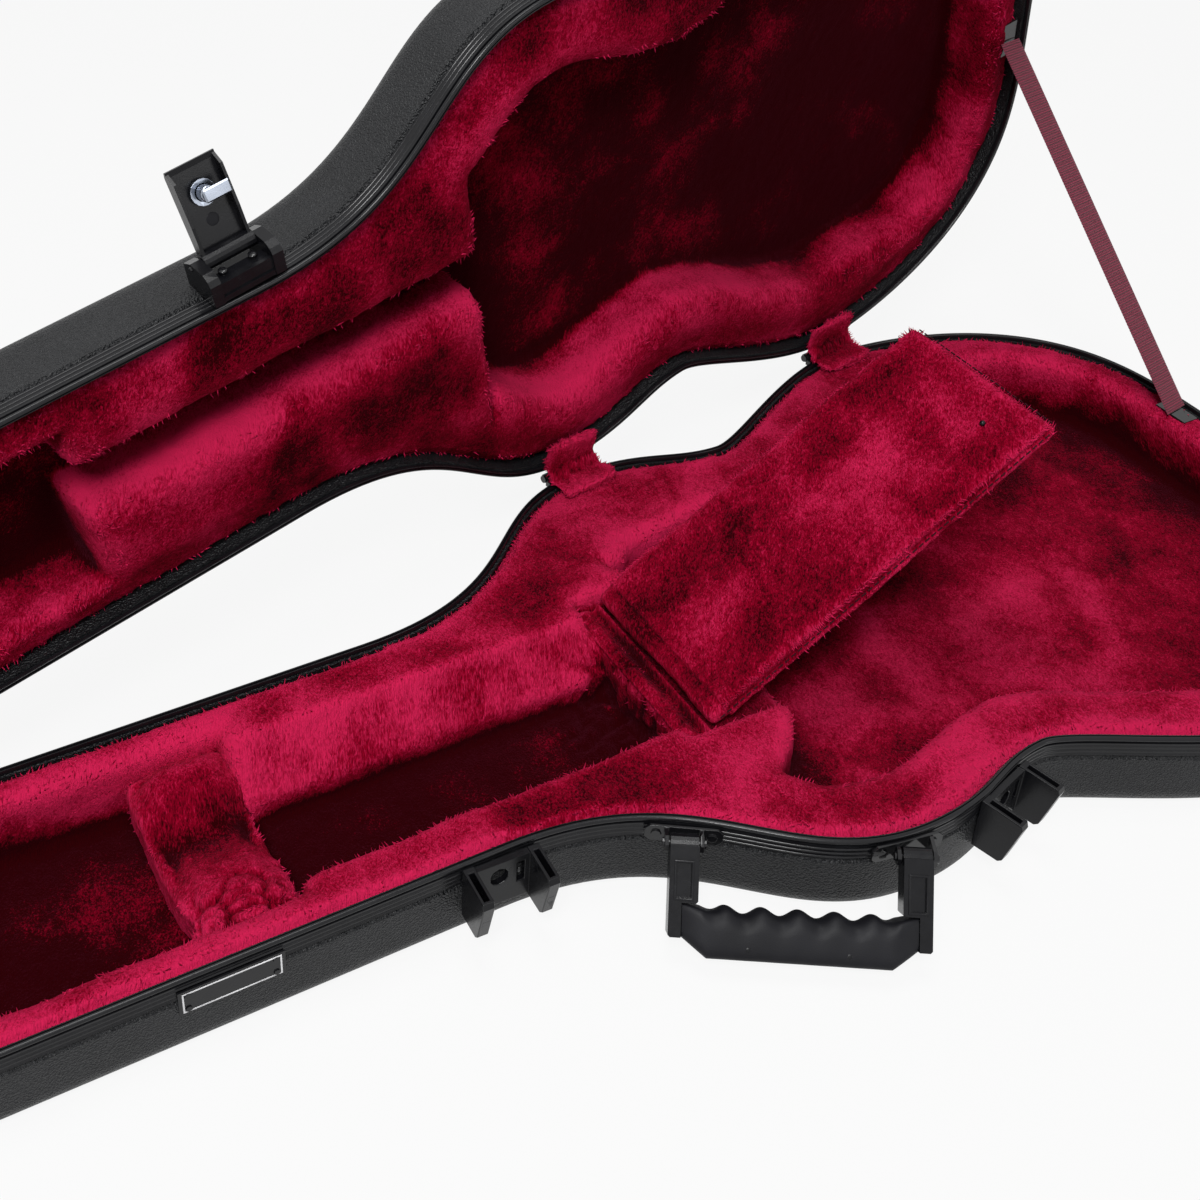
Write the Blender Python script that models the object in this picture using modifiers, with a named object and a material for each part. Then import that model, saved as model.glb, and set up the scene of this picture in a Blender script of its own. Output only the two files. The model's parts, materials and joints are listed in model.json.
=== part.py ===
"""Hard-shell case for an electric guitar, open, with a plush-lined tray and lid.

Metres, +Z up. X runs along the neck towards the tail, Y across towards the hinges, and Z is
0 on the underside. X is 0 at the upper bout. The lid is modelled closed, then swung open.
"""
from math import cos, pi, radians, sin

import bmesh
import bpy
from mathutils import Matrix, Vector
from mathutils.geometry import interpolate_bezier

# Plan outline of the rim, one half. The other half mirrors it.
HEAD_X = -0.660
HEAD_CORNER = 0.045
HEAD_HALF = 0.062
TAPER_X = -0.455
NECK_HALF = 0.080
SHOULDER_X = -0.206
UPPER_X = -0.0125
UPPER_HALF = 0.162
WAIST_X = 0.0728
WAIST_HALF = 0.1454
LOWER_X = 0.211
LOWER_HALF = 0.2004
TAIL_CORNER_X = 0.357
TAIL_CORNER_Y = 0.142
TAIL_CORNER_HEADING = -51.7
TAIL_X = 0.3825
# Bezier handle lengths, before and after each knot of the waisted part.
SHOULDER_OUT = 0.113
UPPER_IN = 0.085
UPPER_OUT = 0.043
WAIST_IN = 0.030
WAIST_OUT = 0.019
LOWER_IN = 0.047
LOWER_OUT = 0.055
TAIL_CORNER_HANDLE = 0.053
TAIL_IN = 0.052

# Shells.
BASE_DEPTH = 0.052
LID_DEPTH = 0.0565
WALL = 0.003
EDGE_RADIUS = 0.014
GAP = 0.0003

# Edge profile that caps both shells, with a groove in the base and a tongue on the lid.
RIM_WIDTH = 0.0048
RIM_CAP = 0.003
RIM_SKIRT = 0.013
RIM_SKIN = 0.0017
RIDGE = 0.0004
GROOVE_MID = 0.0028
GROOVE_HALF = 0.0009
GROOVE_DEPTH = 0.0018
TONGUE_HALF = 0.0006
TONGUE_HEIGHT = 0.0012

# Hinges.
HINGE_OUT = 0.0055
LID_OPEN = 86.2
HINGE_XS = (-0.025, 0.205)
LEAF_WIDTH = 0.036
LEAF_HEIGHT = 0.014
LEAF_THICK = 0.0015
KNUCKLE_RADIUS = 0.003
HINGE_PIN_RADIUS = 0.0013
COVER_WIDTH = 0.038
COVER_THICK = 0.0016
COVER_REACH = 0.014

# Plush lining of the base.
PAD_TOP = 0.0026
PAD_FLOOR = 0.006
CROWN = 0.007
POCKET_TOE = 0.004
STRIP_NEAR = 0.041
STRIP_FAR_UPPER = 0.068
STRIP_FAR_LOWER = 0.043
STRIP_TAIL = 0.026
ROOT_X = -0.056
NOSE_X = -0.021
NOSE_HALF = 0.050
NOSE_CORNER = 0.024
BOX_X0 = -0.298
BOX_X1 = -0.082
BOX_NEAR = -0.050
BOX_FAR = 0.045
BOX_FAR_TOE = 0.024
BOX_TOE_DROP = 0.030
HEAD_STRIP = 0.0224
SHELF_DROP = 0.0136

# Neck rest, a cushion across the tray, and the padded lid of the accessory box.
REST_X0 = -0.3497
REST_LENGTH = 0.0514
REST_TOP_DROP = 0.0090
REST_DIP = 0.0115
REST_DIP_HALF = 0.026
FLAP_X = -0.070
FLAP_DROP = 0.0045
FLAP_LENGTH = 0.239
FLAP_Y0 = -0.055
FLAP_Y1 = 0.057
FLAP_THICK = 0.0094
FLAP_OPEN = 31.0
FLAP_STRIP_WIDTH = 0.014
FLAP_STRIP_THICK = 0.0014

# Plush lining of the lid, measured down from the rim plane of the closed lid.
LID_PAD_EDGE = 0.010
LID_PAD_TOP = 0.003
LID_STRIP = 0.033
LID_SIDE = 0.050
LID_TAIL = 0.032
LID_HOLLOW_X = -0.074
CHANNEL_NEAR = -0.027
CHANNEL_FAR = 0.006
LID_BOX_X0 = -0.318
LID_HEAD_STRIP = 0.028

# Latches: catch plates on the base, brackets and levers on the lid.
LATCH_XS = {"head": -0.560, "neck": -0.2095, "waist": 0.0375, "bout": 0.290}
CATCH_HALF = 0.0202
CATCH_PLATE = 0.0035
CATCH_TOP = 0.0022
CATCH_TALL = 0.0312
CHEEK = 0.006
CATCH_OUT = 0.0235
CATCH_FOOT_OUT = 0.0165
CHEEK_OUT = 0.0175
CATCH_HOLE_WIDE = 0.0095
CATCH_HOLE_HIGH = 0.0105
BRACKET_HALF = 0.0206
BRACKET_TALL = 0.0265
SHELF_Z0 = 0.003
SHELF_Z1 = 0.0125
SHELF_OUT = 0.0105
BARREL_Z = 0.0185
BARREL_OUT = 0.0145
BARREL_RADIUS = 0.0045
LATCH_PIN_RADIUS = 0.0014
LEVER_WIDE = 0.0272
LEVER_LONG = 0.047
LEVER_SKIN = 0.0024
LEVER_FLANGE = 0.008
LEVER_OPEN = 110.0
LOCK_DOWN = 0.031
LOCK_RADIUS = 0.0042
LOCK_LONG = 0.0115
NUT_RADIUS = 0.0068
CAM_LONG = 0.0115

# Carrying handle.
HANDLE_XS = {"neck": -0.1205, "body": -0.0300}
HANDLE_PLATE = 0.038
HANDLE_PLATE_TALL = 0.010
HANDLE_PLATE_DROP = 0.0025
HANDLE_PLATE_THICK = 0.0015
PIVOT_OUT = {"neck": 0.0080, "body": 0.0094}
PIVOT_DROP = 0.0058
EAR_HALF = 0.0076
EAR_THICK = 0.0018
HANDLE_PIN_RADIUS = 0.0014
ARM_WIDE = 0.0140
ARM_THICK = 0.0130
EYE_RADIUS = 0.0048
ARM_END = 0.043
ARM_STEP = 0.027
ARM_STRIP = 0.0062
HANDLE_LEAN = 41.5
HANDLE_REACH = 0.052
GRIP_TOP = 0.0295
GRIP_THICK = 0.019
SCALLOP = 0.0016
SCALLOPS = 5
BAR_R0 = 0.036
BAR_R1 = 0.043
BAR_THICK = 0.006

# Name plate without a name, and the lid stay.
PLATE_X = -0.3455
PLATE_WIDE = 0.051
PLATE_HIGH = 0.0155
PLATE_THICK = 0.0010
PLATE_DROP = 0.0142
STRAP_Y = 0.0405
STRAP_LID_Y = 0.030
STRAP_WIDE = 0.019
STRAP_THICK = 0.0016
TAB_WIDE = 0.024
TAB_TALL = 0.012
TAB_THICK = 0.0016

for old in list(bpy.data.objects):
    bpy.data.objects.remove(old, do_unlink=True)
parts = bpy.data.collections.new("electric_guitar_flight_case")
tools = bpy.data.collections.new("cutters_and_joined_forms")
bpy.context.scene.collection.children.link(parts)
bpy.context.scene.collection.children.link(tools)


def material(name, color, roughness, metallic=0.0):
    mat = bpy.data.materials.new(name)
    mat.use_nodes = True
    shader = mat.node_tree.nodes["Principled BSDF"]
    shader.inputs["Base Color"].default_value = (*color, 1.0)
    shader.inputs["Roughness"].default_value = roughness
    shader.inputs["Metallic"].default_value = metallic
    return mat


SHELL = ("pebbled_shell", (0.028, 0.029, 0.031), 0.55, 0.0)
EDGE = ("satin_edge_profile", (0.012, 0.012, 0.014), 0.3, 0.0)
PLUSH = ("crimson_plush", (0.30, 0.004, 0.035), 0.9, 0.0)
MOULDED = ("moulded_black", (0.010, 0.010, 0.011), 0.4, 0.0)
LACQUER = ("black_lacquered_steel", (0.008, 0.008, 0.009), 0.18, 0.6)
RUBBER = ("grip_rubber", (0.022, 0.022, 0.024), 0.6, 0.0)
CHROME = ("chrome", (0.62, 0.64, 0.66), 0.15, 1.0)
WEBBING = ("burgundy_webbing", (0.11, 0.004, 0.03), 0.7, 0.0)


def finish(obj, name, look, where=parts):
    """Names the object, gives it its own material and puts it in its collection."""
    obj.name = name
    obj.data.name = name
    obj.data.materials.clear()
    obj.data.materials.append(material(name + "_" + look[0], *look[1:]))
    for holder in list(obj.users_collection):
        holder.objects.unlink(obj)
    where.objects.link(obj)
    return obj


def as_object(bm, name, matrix=Matrix()):
    """A mesh object from a bmesh, with its faces turned outwards."""
    bmesh.ops.remove_doubles(bm, verts=bm.verts, dist=1e-6)
    bmesh.ops.recalc_face_normals(bm, faces=bm.faces)
    mesh = bpy.data.meshes.new(name)
    bm.to_mesh(mesh)
    bm.free()
    obj = bpy.data.objects.new(name, mesh)
    obj.matrix_world = matrix
    tools.objects.link(obj)
    return obj


def block(x0, x1, y0, y1, z0, z1, matrix=Matrix()):
    bm = bmesh.new()
    size = Vector((x1 - x0, y1 - y0, z1 - z0))
    middle = Vector((x0 + x1, y0 + y1, z0 + z1)) / 2
    bmesh.ops.create_cube(bm, size=1.0, matrix=Matrix.Translation(middle) @ Matrix.Diagonal((*size, 1)))
    return as_object(bm, "block", matrix)


AXES = {"X": Matrix.Rotation(pi / 2, 4, "Y"), "Y": Matrix.Rotation(-pi / 2, 4, "X"), "Z": Matrix()}


def rod(radius, length, centre, axis, matrix=Matrix(), sides=12, top=None):
    """A cylinder, or a cone with top as its far radius, about a point on its axis."""
    bm = bmesh.new()
    bmesh.ops.create_cone(bm, cap_ends=True, segments=sides, radius1=radius,
                          radius2=radius if top is None else top, depth=length,
                          matrix=Matrix.Translation(centre) @ AXES[axis])
    return as_object(bm, "rod", matrix)


def extruded(points, x0, x1, matrix=Matrix()):
    """A flat outline in local Y and Z as a 2D curve, extruded along local X, made a mesh."""
    curve = bpy.data.curves.new("outline", "CURVE")
    curve.dimensions = "2D"
    curve.fill_mode = "BOTH"
    curve.extrude = abs(x1 - x0) / 2
    spline = curve.splines.new("POLY")
    spline.points.add(len(points) - 1)
    for knot, (y, z) in zip(spline.points, points):
        knot.co = (y, z, 0, 1)
    spline.use_cyclic_u = True
    holder = bpy.data.objects.new("outline", curve)
    tools.objects.link(holder)
    bpy.context.view_layer.update()
    mesh = bpy.data.meshes.new_from_object(holder.evaluated_get(bpy.context.evaluated_depsgraph_get()))
    bpy.data.objects.remove(holder)
    bm = bmesh.new()
    bm.from_mesh(mesh)
    turn = Matrix(((0, 0, 1, (x0 + x1) / 2), (1, 0, 0, 0), (0, 1, 0, 0), (0, 0, 0, 1)))
    bmesh.ops.transform(bm, matrix=turn, verts=bm.verts)
    return as_object(bm, "extruded", matrix)


def flat_xz(points, thick, matrix=Matrix()):
    """A flat outline in local X and Z, centred on Y."""
    turn = Matrix(((0, 1, 0, 0), (-1, 0, 0, 0), (0, 0, 1, 0), (0, 0, 0, 1)))
    return extruded(points, -thick / 2, thick / 2, matrix @ turn)


def turned(profile, axis, matrix=Matrix(), sides=12):
    """A turned piece: (radius, along) points from top to bottom, spun with a Screw modifier."""
    bm = bmesh.new()
    knots = [bm.verts.new((radius, 0, along)) for radius, along in profile]
    for a, b in zip(knots, knots[1:]):
        bm.edges.new((a, b))
    mesh = bpy.data.meshes.new("profile")
    bm.to_mesh(mesh)
    bm.free()
    obj = bpy.data.objects.new("turned", mesh)
    tools.objects.link(obj)
    screw = obj.modifiers.new("turn", "SCREW")
    screw.steps = sides
    screw.render_steps = sides
    screw.use_merge_vertices = True
    screw.merge_threshold = 0.00001
    bpy.context.view_layer.update()
    spun = bpy.data.meshes.new_from_object(obj.evaluated_get(bpy.context.evaluated_depsgraph_get()))
    bpy.data.objects.remove(obj)
    bm = bmesh.new()
    bm.from_mesh(spun)
    bmesh.ops.transform(bm, matrix=AXES[axis], verts=bm.verts)
    return as_object(bm, "turned", matrix)


def build(base, joined=(), cut=(), bevel=None):
    """Joins and cuts with exact Booleans, then keeps the result as one mesh at base's origin."""
    for operation, pieces in (("UNION", joined), ("DIFFERENCE", cut)):
        for piece in pieces:
            step = base.modifiers.new(operation.lower(), "BOOLEAN")
            step.operation = operation
            step.solver = "EXACT"
            step.object = piece
    if bevel:
        soft = base.modifiers.new("soften", "BEVEL")
        soft.width = bevel
        soft.segments = 1
        soft.limit_method = "ANGLE"
        soft.angle_limit = radians(50)
    bpy.context.view_layer.update()
    mesh = bpy.data.meshes.new_from_object(base.evaluated_get(bpy.context.evaluated_depsgraph_get()))
    base.modifiers.clear()
    base.data = mesh
    for piece in list(joined) + list(cut):
        bpy.data.objects.remove(piece)
    return base


def shade(obj, angle=35):
    for face in obj.data.polygons:
        face.use_smooth = True
    obj.data.set_sharp_from_angle(angle=radians(angle))
    return obj


def bezier(p0, heading0, out, p1, heading1, into, steps):
    """Points of a Bezier from p0 to p1, without its last one. Headings are in degrees."""
    a = Vector((cos(radians(heading0)), sin(radians(heading0)))) * out
    b = Vector((cos(radians(heading1)), sin(radians(heading1)))) * into
    p0, p1 = Vector(p0), Vector(p1)
    points = interpolate_bezier(p0.to_3d(), (p0 + a).to_3d(), (p1 - b).to_3d(), p1.to_3d(), steps + 1)
    return [point.to_2d() for point in points[:-1]]


def half_outline():
    """The rim's outer edge for y > 0, from the head to the tail."""
    corner = Vector((HEAD_X + HEAD_CORNER, HEAD_HALF - HEAD_CORNER))
    half = [Vector((HEAD_X, 0.0))]
    for step in range(4):
        turn = pi - step * pi / 6
        half.append(corner + HEAD_CORNER * Vector((cos(turn), sin(turn))))
    # The neck part narrows towards the head, so that the open lid clears the base there.
    half.append(Vector((TAPER_X, NECK_HALF)))
    half += bezier((SHOULDER_X, NECK_HALF), 0, SHOULDER_OUT, (UPPER_X, UPPER_HALF), 0, UPPER_IN, 8)
    half += bezier((UPPER_X, UPPER_HALF), 0, UPPER_OUT, (WAIST_X, WAIST_HALF), 0, WAIST_IN, 4)
    half += bezier((WAIST_X, WAIST_HALF), 0, WAIST_OUT, (LOWER_X, LOWER_HALF), 0, LOWER_IN, 7)
    half += bezier((LOWER_X, LOWER_HALF), 0, LOWER_OUT, (TAIL_CORNER_X, TAIL_CORNER_Y),
                   TAIL_CORNER_HEADING, TAIL_CORNER_HANDLE, 5)
    half += bezier((TAIL_CORNER_X, TAIL_CORNER_Y), TAIL_CORNER_HEADING, TAIL_CORNER_HANDLE,
                   (TAIL_X, 0), -90, TAIL_IN, 4)
    return half + [Vector((TAIL_X, 0.0))]


def mirrored(half):
    """The closed outline, counter-clockwise from the head: near side first, then the far side."""
    near = [Vector((p.x, -p.y)) for p in half]
    return near + list(reversed(half[1:-1]))


def inset(points, width):
    """Closed points moved inwards along their mitres. width is a number or a function of x, y."""
    moved = []
    count = len(points)
    for i, here in enumerate(points):
        before = (here - points[i - 1]).normalized()
        after = (points[(i + 1) % count] - here).normalized()
        mitre = Vector((-before.y - after.y, before.x + after.x)).normalized()
        stretch = mitre.dot(Vector((-after.y, after.x)))
        by = width(here) if callable(width) else width
        moved.append(here + mitre * by / max(stretch, 0.5))
    return moved


OUTLINE = mirrored(half_outline())


def loft(path, section, closed=False, caps=(True, True)):
    """Sweeps (inset, z) stations round a closed path: a ring if closed, else capped at its ends."""
    bm = bmesh.new()
    rings = []
    for depth, z in section:
        rings.append([bm.verts.new((*p, z)) for p in inset(path, depth)])
    edges = list(zip(rings, rings[1:] + rings[:1])) if closed else list(zip(rings, rings[1:]))
    for low, high in edges:
        for i in range(len(path)):
            bm.faces.new((low[i - 1], low[i], high[i], high[i - 1]))
    if not closed:
        if caps[0]:
            bm.faces.new(rings[0])
        if caps[1]:
            bm.faces.new(rings[-1])
    return as_object(bm, "loft")


# Shells: an open surface swept from the rim down round the edge to the flat bottom.
def shell_section(rim_z, bottom_z):
    """Stations of the outer surface: joggled behind the rim's skirt, then a rounded bottom edge."""
    down = 1 if bottom_z > rim_z else -1
    behind = RIM_SKIN + GAP
    section = [(behind, rim_z + down * (RIM_CAP + GAP)), (behind, rim_z + down * (RIM_SKIRT + GAP)),
               (GAP, rim_z + down * (RIM_SKIRT + GAP + behind))]
    for step in range(4):
        turn = step * pi / 6
        section.append((GAP + EDGE_RADIUS * (1 - cos(turn)),
                        bottom_z - down * EDGE_RADIUS * (1 - sin(turn))))
    return section


def shell(name, rim_z, bottom_z):
    obj = loft(OUTLINE, shell_section(rim_z, bottom_z), caps=(False, True))
    # A swept open surface may come out with its faces inwards, so the bottom face decides.
    bottom = max(obj.data.polygons, key=lambda face: face.area)
    if bottom.normal.z * (bottom_z - rim_z) < 0:
        obj.data.flip_normals()
    thick = obj.modifiers.new("wall", "SOLIDIFY")
    thick.thickness = WALL
    thick.offset = -1
    thick.use_even_offset = True
    finish(obj, name, SHELL)
    return obj


RIM_BASE_Z = BASE_DEPTH - GAP / 2
RIM_LID_Z = BASE_DEPTH + GAP / 2
TOP_Z = BASE_DEPTH + LID_DEPTH
base_shell = shell("base_shell", BASE_DEPTH, 0.0)
lid_shell = shell("lid_shell", BASE_DEPTH, TOP_Z)


def rim(name, face_z, up, ridge):
    """The edge profile: a grooved skirt outside, a cap over the wall, and a groove or a tongue."""
    skirt = face_z - up * (RIM_SKIRT - GAP)
    line = RIDGE
    section = [(2 * line, skirt)]
    for i, down in enumerate((0.0098, 0.0062)):
        section += [((2 - i) * line, face_z - up * (down + line)), ((1 - i) * line, face_z - up * down)]
    section += [(0, face_z - up * 0.001), (0.0008, face_z)]
    if ridge:
        half = TONGUE_HALF
        tip = face_z + up * TONGUE_HEIGHT
    else:
        half = GROOVE_HALF
        tip = face_z - up * GROOVE_DEPTH
    section += [(GROOVE_MID - half, face_z), (GROOVE_MID - half, tip), (GROOVE_MID + half, tip),
                (GROOVE_MID + half, face_z), (RIM_WIDTH, face_z), (RIM_WIDTH, face_z - up * RIM_CAP),
                (RIM_SKIN, face_z - up * RIM_CAP), (RIM_SKIN, skirt)]
    obj = finish(loft(OUTLINE, section, closed=True), name, EDGE)
    return obj


base_rim = rim("base_rim", RIM_BASE_Z, 1, False)
lid_rim = rim("lid_rim", RIM_LID_Z, -1, True)


# Lining of the base: a foam bed with the pockets cut into it, each with a rounded lip.
def pad_section(rim_z, bottom_z, lip, crown_inset, crown):
    """Stations of the bed: a chamfer inside the shell's rounded edge, a wall, and its upper face."""
    up = 1 if bottom_z < rim_z else -1
    wall = RIM_SKIN + GAP + WALL + GAP
    round_in = WALL + EDGE_RADIUS
    return [(round_in, bottom_z + up * (WALL + GAP)),
            (wall, bottom_z + up * (EDGE_RADIUS + 0.001)),
            (wall, rim_z - up * (lip + GAP)),
            (crown_inset, rim_z - up * crown)]


def lip_section(floor_z, top_z, up, radius=CROWN):
    """Stations of a pocket cutter: a small toe radius, a wall, and a lip flared outwards."""
    section = [(POCKET_TOE, floor_z), (0, floor_z + up * POCKET_TOE)]
    for step in range(4):
        turn = step * pi / 6
        section.append((-radius * (1 - cos(turn)), top_z - up * radius * (1 - sin(turn))))
    section.append((-radius, top_z + up * 0.006))
    return section


def cutter(obj, name):
    obj.name = name
    obj.hide_render = True
    obj.display_type = "WIRE"
    return obj


def blend(x, x0, x1, a, b):
    """Runs smoothly from a at x0 to b at x1."""
    u = min(max((x - x0) / (x1 - x0), 0.0), 1.0)
    return a + (b - a) * u * u * (3 - 2 * u)


def body_strip(p):
    """Width of the padded strip round the body's hollow."""
    near = STRIP_NEAR
    far = blend(p.x, UPPER_X, WAIST_X + 0.02, STRIP_FAR_UPPER, STRIP_FAR_LOWER)
    side = blend(p.y, -0.04, 0.04, near, far)
    return blend(p.x, LOWER_X + 0.02, TAIL_X - 0.03, side, STRIP_TAIL)


def body_pocket(strip, root_x, nose):
    """The body's hollow: the outline inside its strip, closed towards the neck by a nose."""
    inner = inset(OUTLINE, strip)
    kept = [p for p in inner if p.x > root_x + 0.004]
    near = [p for p in kept if p.y < 0]
    far = [p for p in kept if p.y > 0]
    tail = [p for p in kept if p.y == 0]
    return near + tail + far + [Vector(p) for p in nose]


def rectangle(x0, x1, y0, y1, radius=0.006, steps=2):
    """A rectangle with round corners, counter-clockwise."""
    points = []
    for cx, cy, start in ((x1 - radius, y0 + radius, -90), (x1 - radius, y1 - radius, 0),
                          (x0 + radius, y1 - radius, 90), (x0 + radius, y0 + radius, 180)):
        for step in range(steps + 1):
            turn = radians(start + 90 * step / steps)
            points.append(Vector((cx + radius * cos(turn), cy + radius * sin(turn))))
    return points


def head_pocket(strip, end_x):
    """The headstock's hollow: the outline inside its strip, closed square across the neck."""
    kept = [p for p in inset(OUTLINE, strip) if p.x < end_x]
    near = [p for p in kept if p.y < 0]
    rest = [p for p in kept if p.y >= 0]
    square = [(end_x, strip - NECK_HALF), (end_x, NECK_HALF - strip)]
    return [p for p in rest if p.y == 0] + near + [Vector(p) for p in square] + [p for p in rest if p.y > 0]


BED_TOP = BASE_DEPTH - PAD_TOP
BED_FLOOR = WALL + GAP + PAD_FLOOR
base_lining = loft(OUTLINE, pad_section(BASE_DEPTH, 0.0, RIM_CAP, RIM_WIDTH + 0.004, PAD_TOP))
nose = [(ROOT_X + 0.004, 0.082), (ROOT_X + 0.008, 0.074), (NOSE_X, NOSE_HALF),
        (NOSE_X, -NOSE_HALF), (NOSE_X - 0.004, -NOSE_HALF - 0.014),
        (NOSE_X - 0.014, -NOSE_HALF - NOSE_CORNER - 0.004), (ROOT_X, -0.095)]
body_cut = cutter(loft(body_pocket(body_strip, ROOT_X, nose), lip_section(BED_FLOOR, BED_TOP, 1)),
                  "cut_body_pocket")
head_cut = cutter(loft(head_pocket(HEAD_STRIP, BOX_X0), lip_section(BED_FLOOR, BED_TOP, 1)),
                  "cut_head_pocket")
box_cut = extruded([(BOX_NEAR, BED_FLOOR), (BOX_FAR_TOE, BED_FLOOR),
                    (BOX_FAR_TOE, BASE_DEPTH - BOX_TOE_DROP), (BOX_FAR, BED_TOP - 0.003),
                    (BOX_FAR + 0.004, BASE_DEPTH + 0.004), (BOX_NEAR - 0.003, BASE_DEPTH + 0.004),
                    (BOX_NEAR, BED_TOP - 0.004)], BOX_X0 - 0.004, BOX_X1)
box_cut = cutter(box_cut, "cut_accessory_box")
shelf_cut = cutter(block(BOX_X1 - 0.004, NOSE_X + 0.012, FLAP_Y0 - 0.003, FLAP_Y1 + 0.003,
                         BASE_DEPTH - SHELF_DROP, BASE_DEPTH + 0.01), "cut_flap_shelf")
base_lining = build(base_lining, cut=[body_cut, head_cut, box_cut, shelf_cut])
shade(finish(base_lining, "base_lining", PLUSH), 50)

# Lining of the lid: its inner face is lower at the rim than along its crown.
LID_BED_TOP = BASE_DEPTH + LID_PAD_TOP
LID_BED_FLOOR = TOP_Z - WALL - GAP - PAD_FLOOR
lid_lining = loft(OUTLINE, pad_section(BASE_DEPTH, TOP_Z, LID_PAD_EDGE, LID_STRIP, LID_PAD_TOP))


def lid_strip(p):
    return blend(p.x, LOWER_X + 0.02, TAIL_X - 0.03, LID_SIDE, LID_TAIL)


lid_nose = [(LID_HOLLOW_X, 0.098), (LID_HOLLOW_X, -0.078)]
lid_body_cut = loft(body_pocket(lid_strip, LID_HOLLOW_X, lid_nose),
                    lip_section(LID_BED_FLOOR, LID_BED_TOP, -1, 0.012))
lid_head_cut = loft(head_pocket(LID_HEAD_STRIP, LID_BOX_X0),
                    lip_section(LID_BED_FLOOR, LID_BED_TOP, -1, 0.010))
channel_cut = loft(rectangle(LID_BOX_X0 - 0.030, LID_HOLLOW_X + 0.030, CHANNEL_NEAR, CHANNEL_FAR, 0.008),
                   lip_section(LID_BED_FLOOR, LID_BED_TOP, -1, 0.012))
lid_lining = build(lid_lining, cut=[lid_body_cut, lid_head_cut, channel_cut])
shade(finish(lid_lining, "lid_lining", PLUSH), 50)

# Neck rest: a cushion that fills the tray from side to side, dished for the neck.
rest_half = NECK_HALF - HEAD_STRIP - GAP
bm = bmesh.new()
bmesh.ops.create_grid(bm, x_segments=4, y_segments=10, size=0.5)
skin = bmesh.ops.extrude_face_region(bm, geom=bm.faces[:])
lower = [v for v in skin["geom"] if isinstance(v, bmesh.types.BMVert)]
rest_floor = BED_FLOOR + GAP
for v in bm.verts:
    v.co.x = REST_X0 + REST_LENGTH * (v.co.x + 0.5)
    v.co.y *= 2 * rest_half
    across = v.co.y / rest_half
    along = (v.co.x - REST_X0) / REST_LENGTH * 2 - 1
    if v in lower:
        # The foot draws in, clear of the rounded foot of the pocket.
        v.co = (min(v.co.x, REST_X0 + REST_LENGTH - POCKET_TOE - GAP),
                v.co.y * (rest_half - POCKET_TOE - GAP) / rest_half, rest_floor)
        continue
    dip = REST_DIP * max(0.0, 1 - (v.co.y / REST_DIP_HALF / 1.6) ** 2)
    v.co.z = BASE_DEPTH - REST_TOP_DROP - dip - 0.006 * along ** 4 - 0.004 * across ** 6
bmesh.ops.bevel(bm, geom=[e for e in bm.edges if len(e.link_faces) == 2 and e.calc_face_angle() > 1.0
                          and max(v.co.z for v in e.verts) > rest_floor + 0.004],
                offset=0.004, segments=2, profile=0.5, affect="EDGES")
neck_rest = shade(finish(as_object(bm, "neck_rest"), "neck_rest", PLUSH), 60)


# Frames on the walls: X along the wall towards the tail, Y into the case, Z up from the rim plane.
def wall_frame(x, half):
    """A frame touching the rim's outer edge on the near side at this x, for a piece 2 * half wide."""
    near = [p for p in OUTLINE if p.y <= 0]
    a, b = next((p, q) for p, q in zip(near, near[1:]) if p.x <= x <= q.x and q.x > p.x)
    point = a.lerp(b, (x - a.x) / (b.x - a.x))
    i = near.index(b)
    ends = []
    for ahead in (near[i - 1::-1], near[i:]):
        here, left = point, half
        for corner in ahead:
            step = (corner - here).length
            if step >= left:
                ends.append(here.lerp(corner, left / step))
                break
            here, left = corner, left - step
    along = (ends[1] - ends[0]).normalized()
    outwards = Vector((along.y, -along.x))
    inside = [p for p in near if ends[0].x < p.x < ends[1].x] + ends
    point = point + outwards * max((p - point).dot(outwards) for p in inside)
    return Matrix(((along.x, -along.y, 0, point.x), (along.y, along.x, 0, point.y),
                   (0, 0, 1, BASE_DEPTH), (0, 0, 0, 1)))


SEAT = GAP
latch_frames = {name: wall_frame(x, BRACKET_HALF) for name, x in LATCH_XS.items()}


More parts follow.
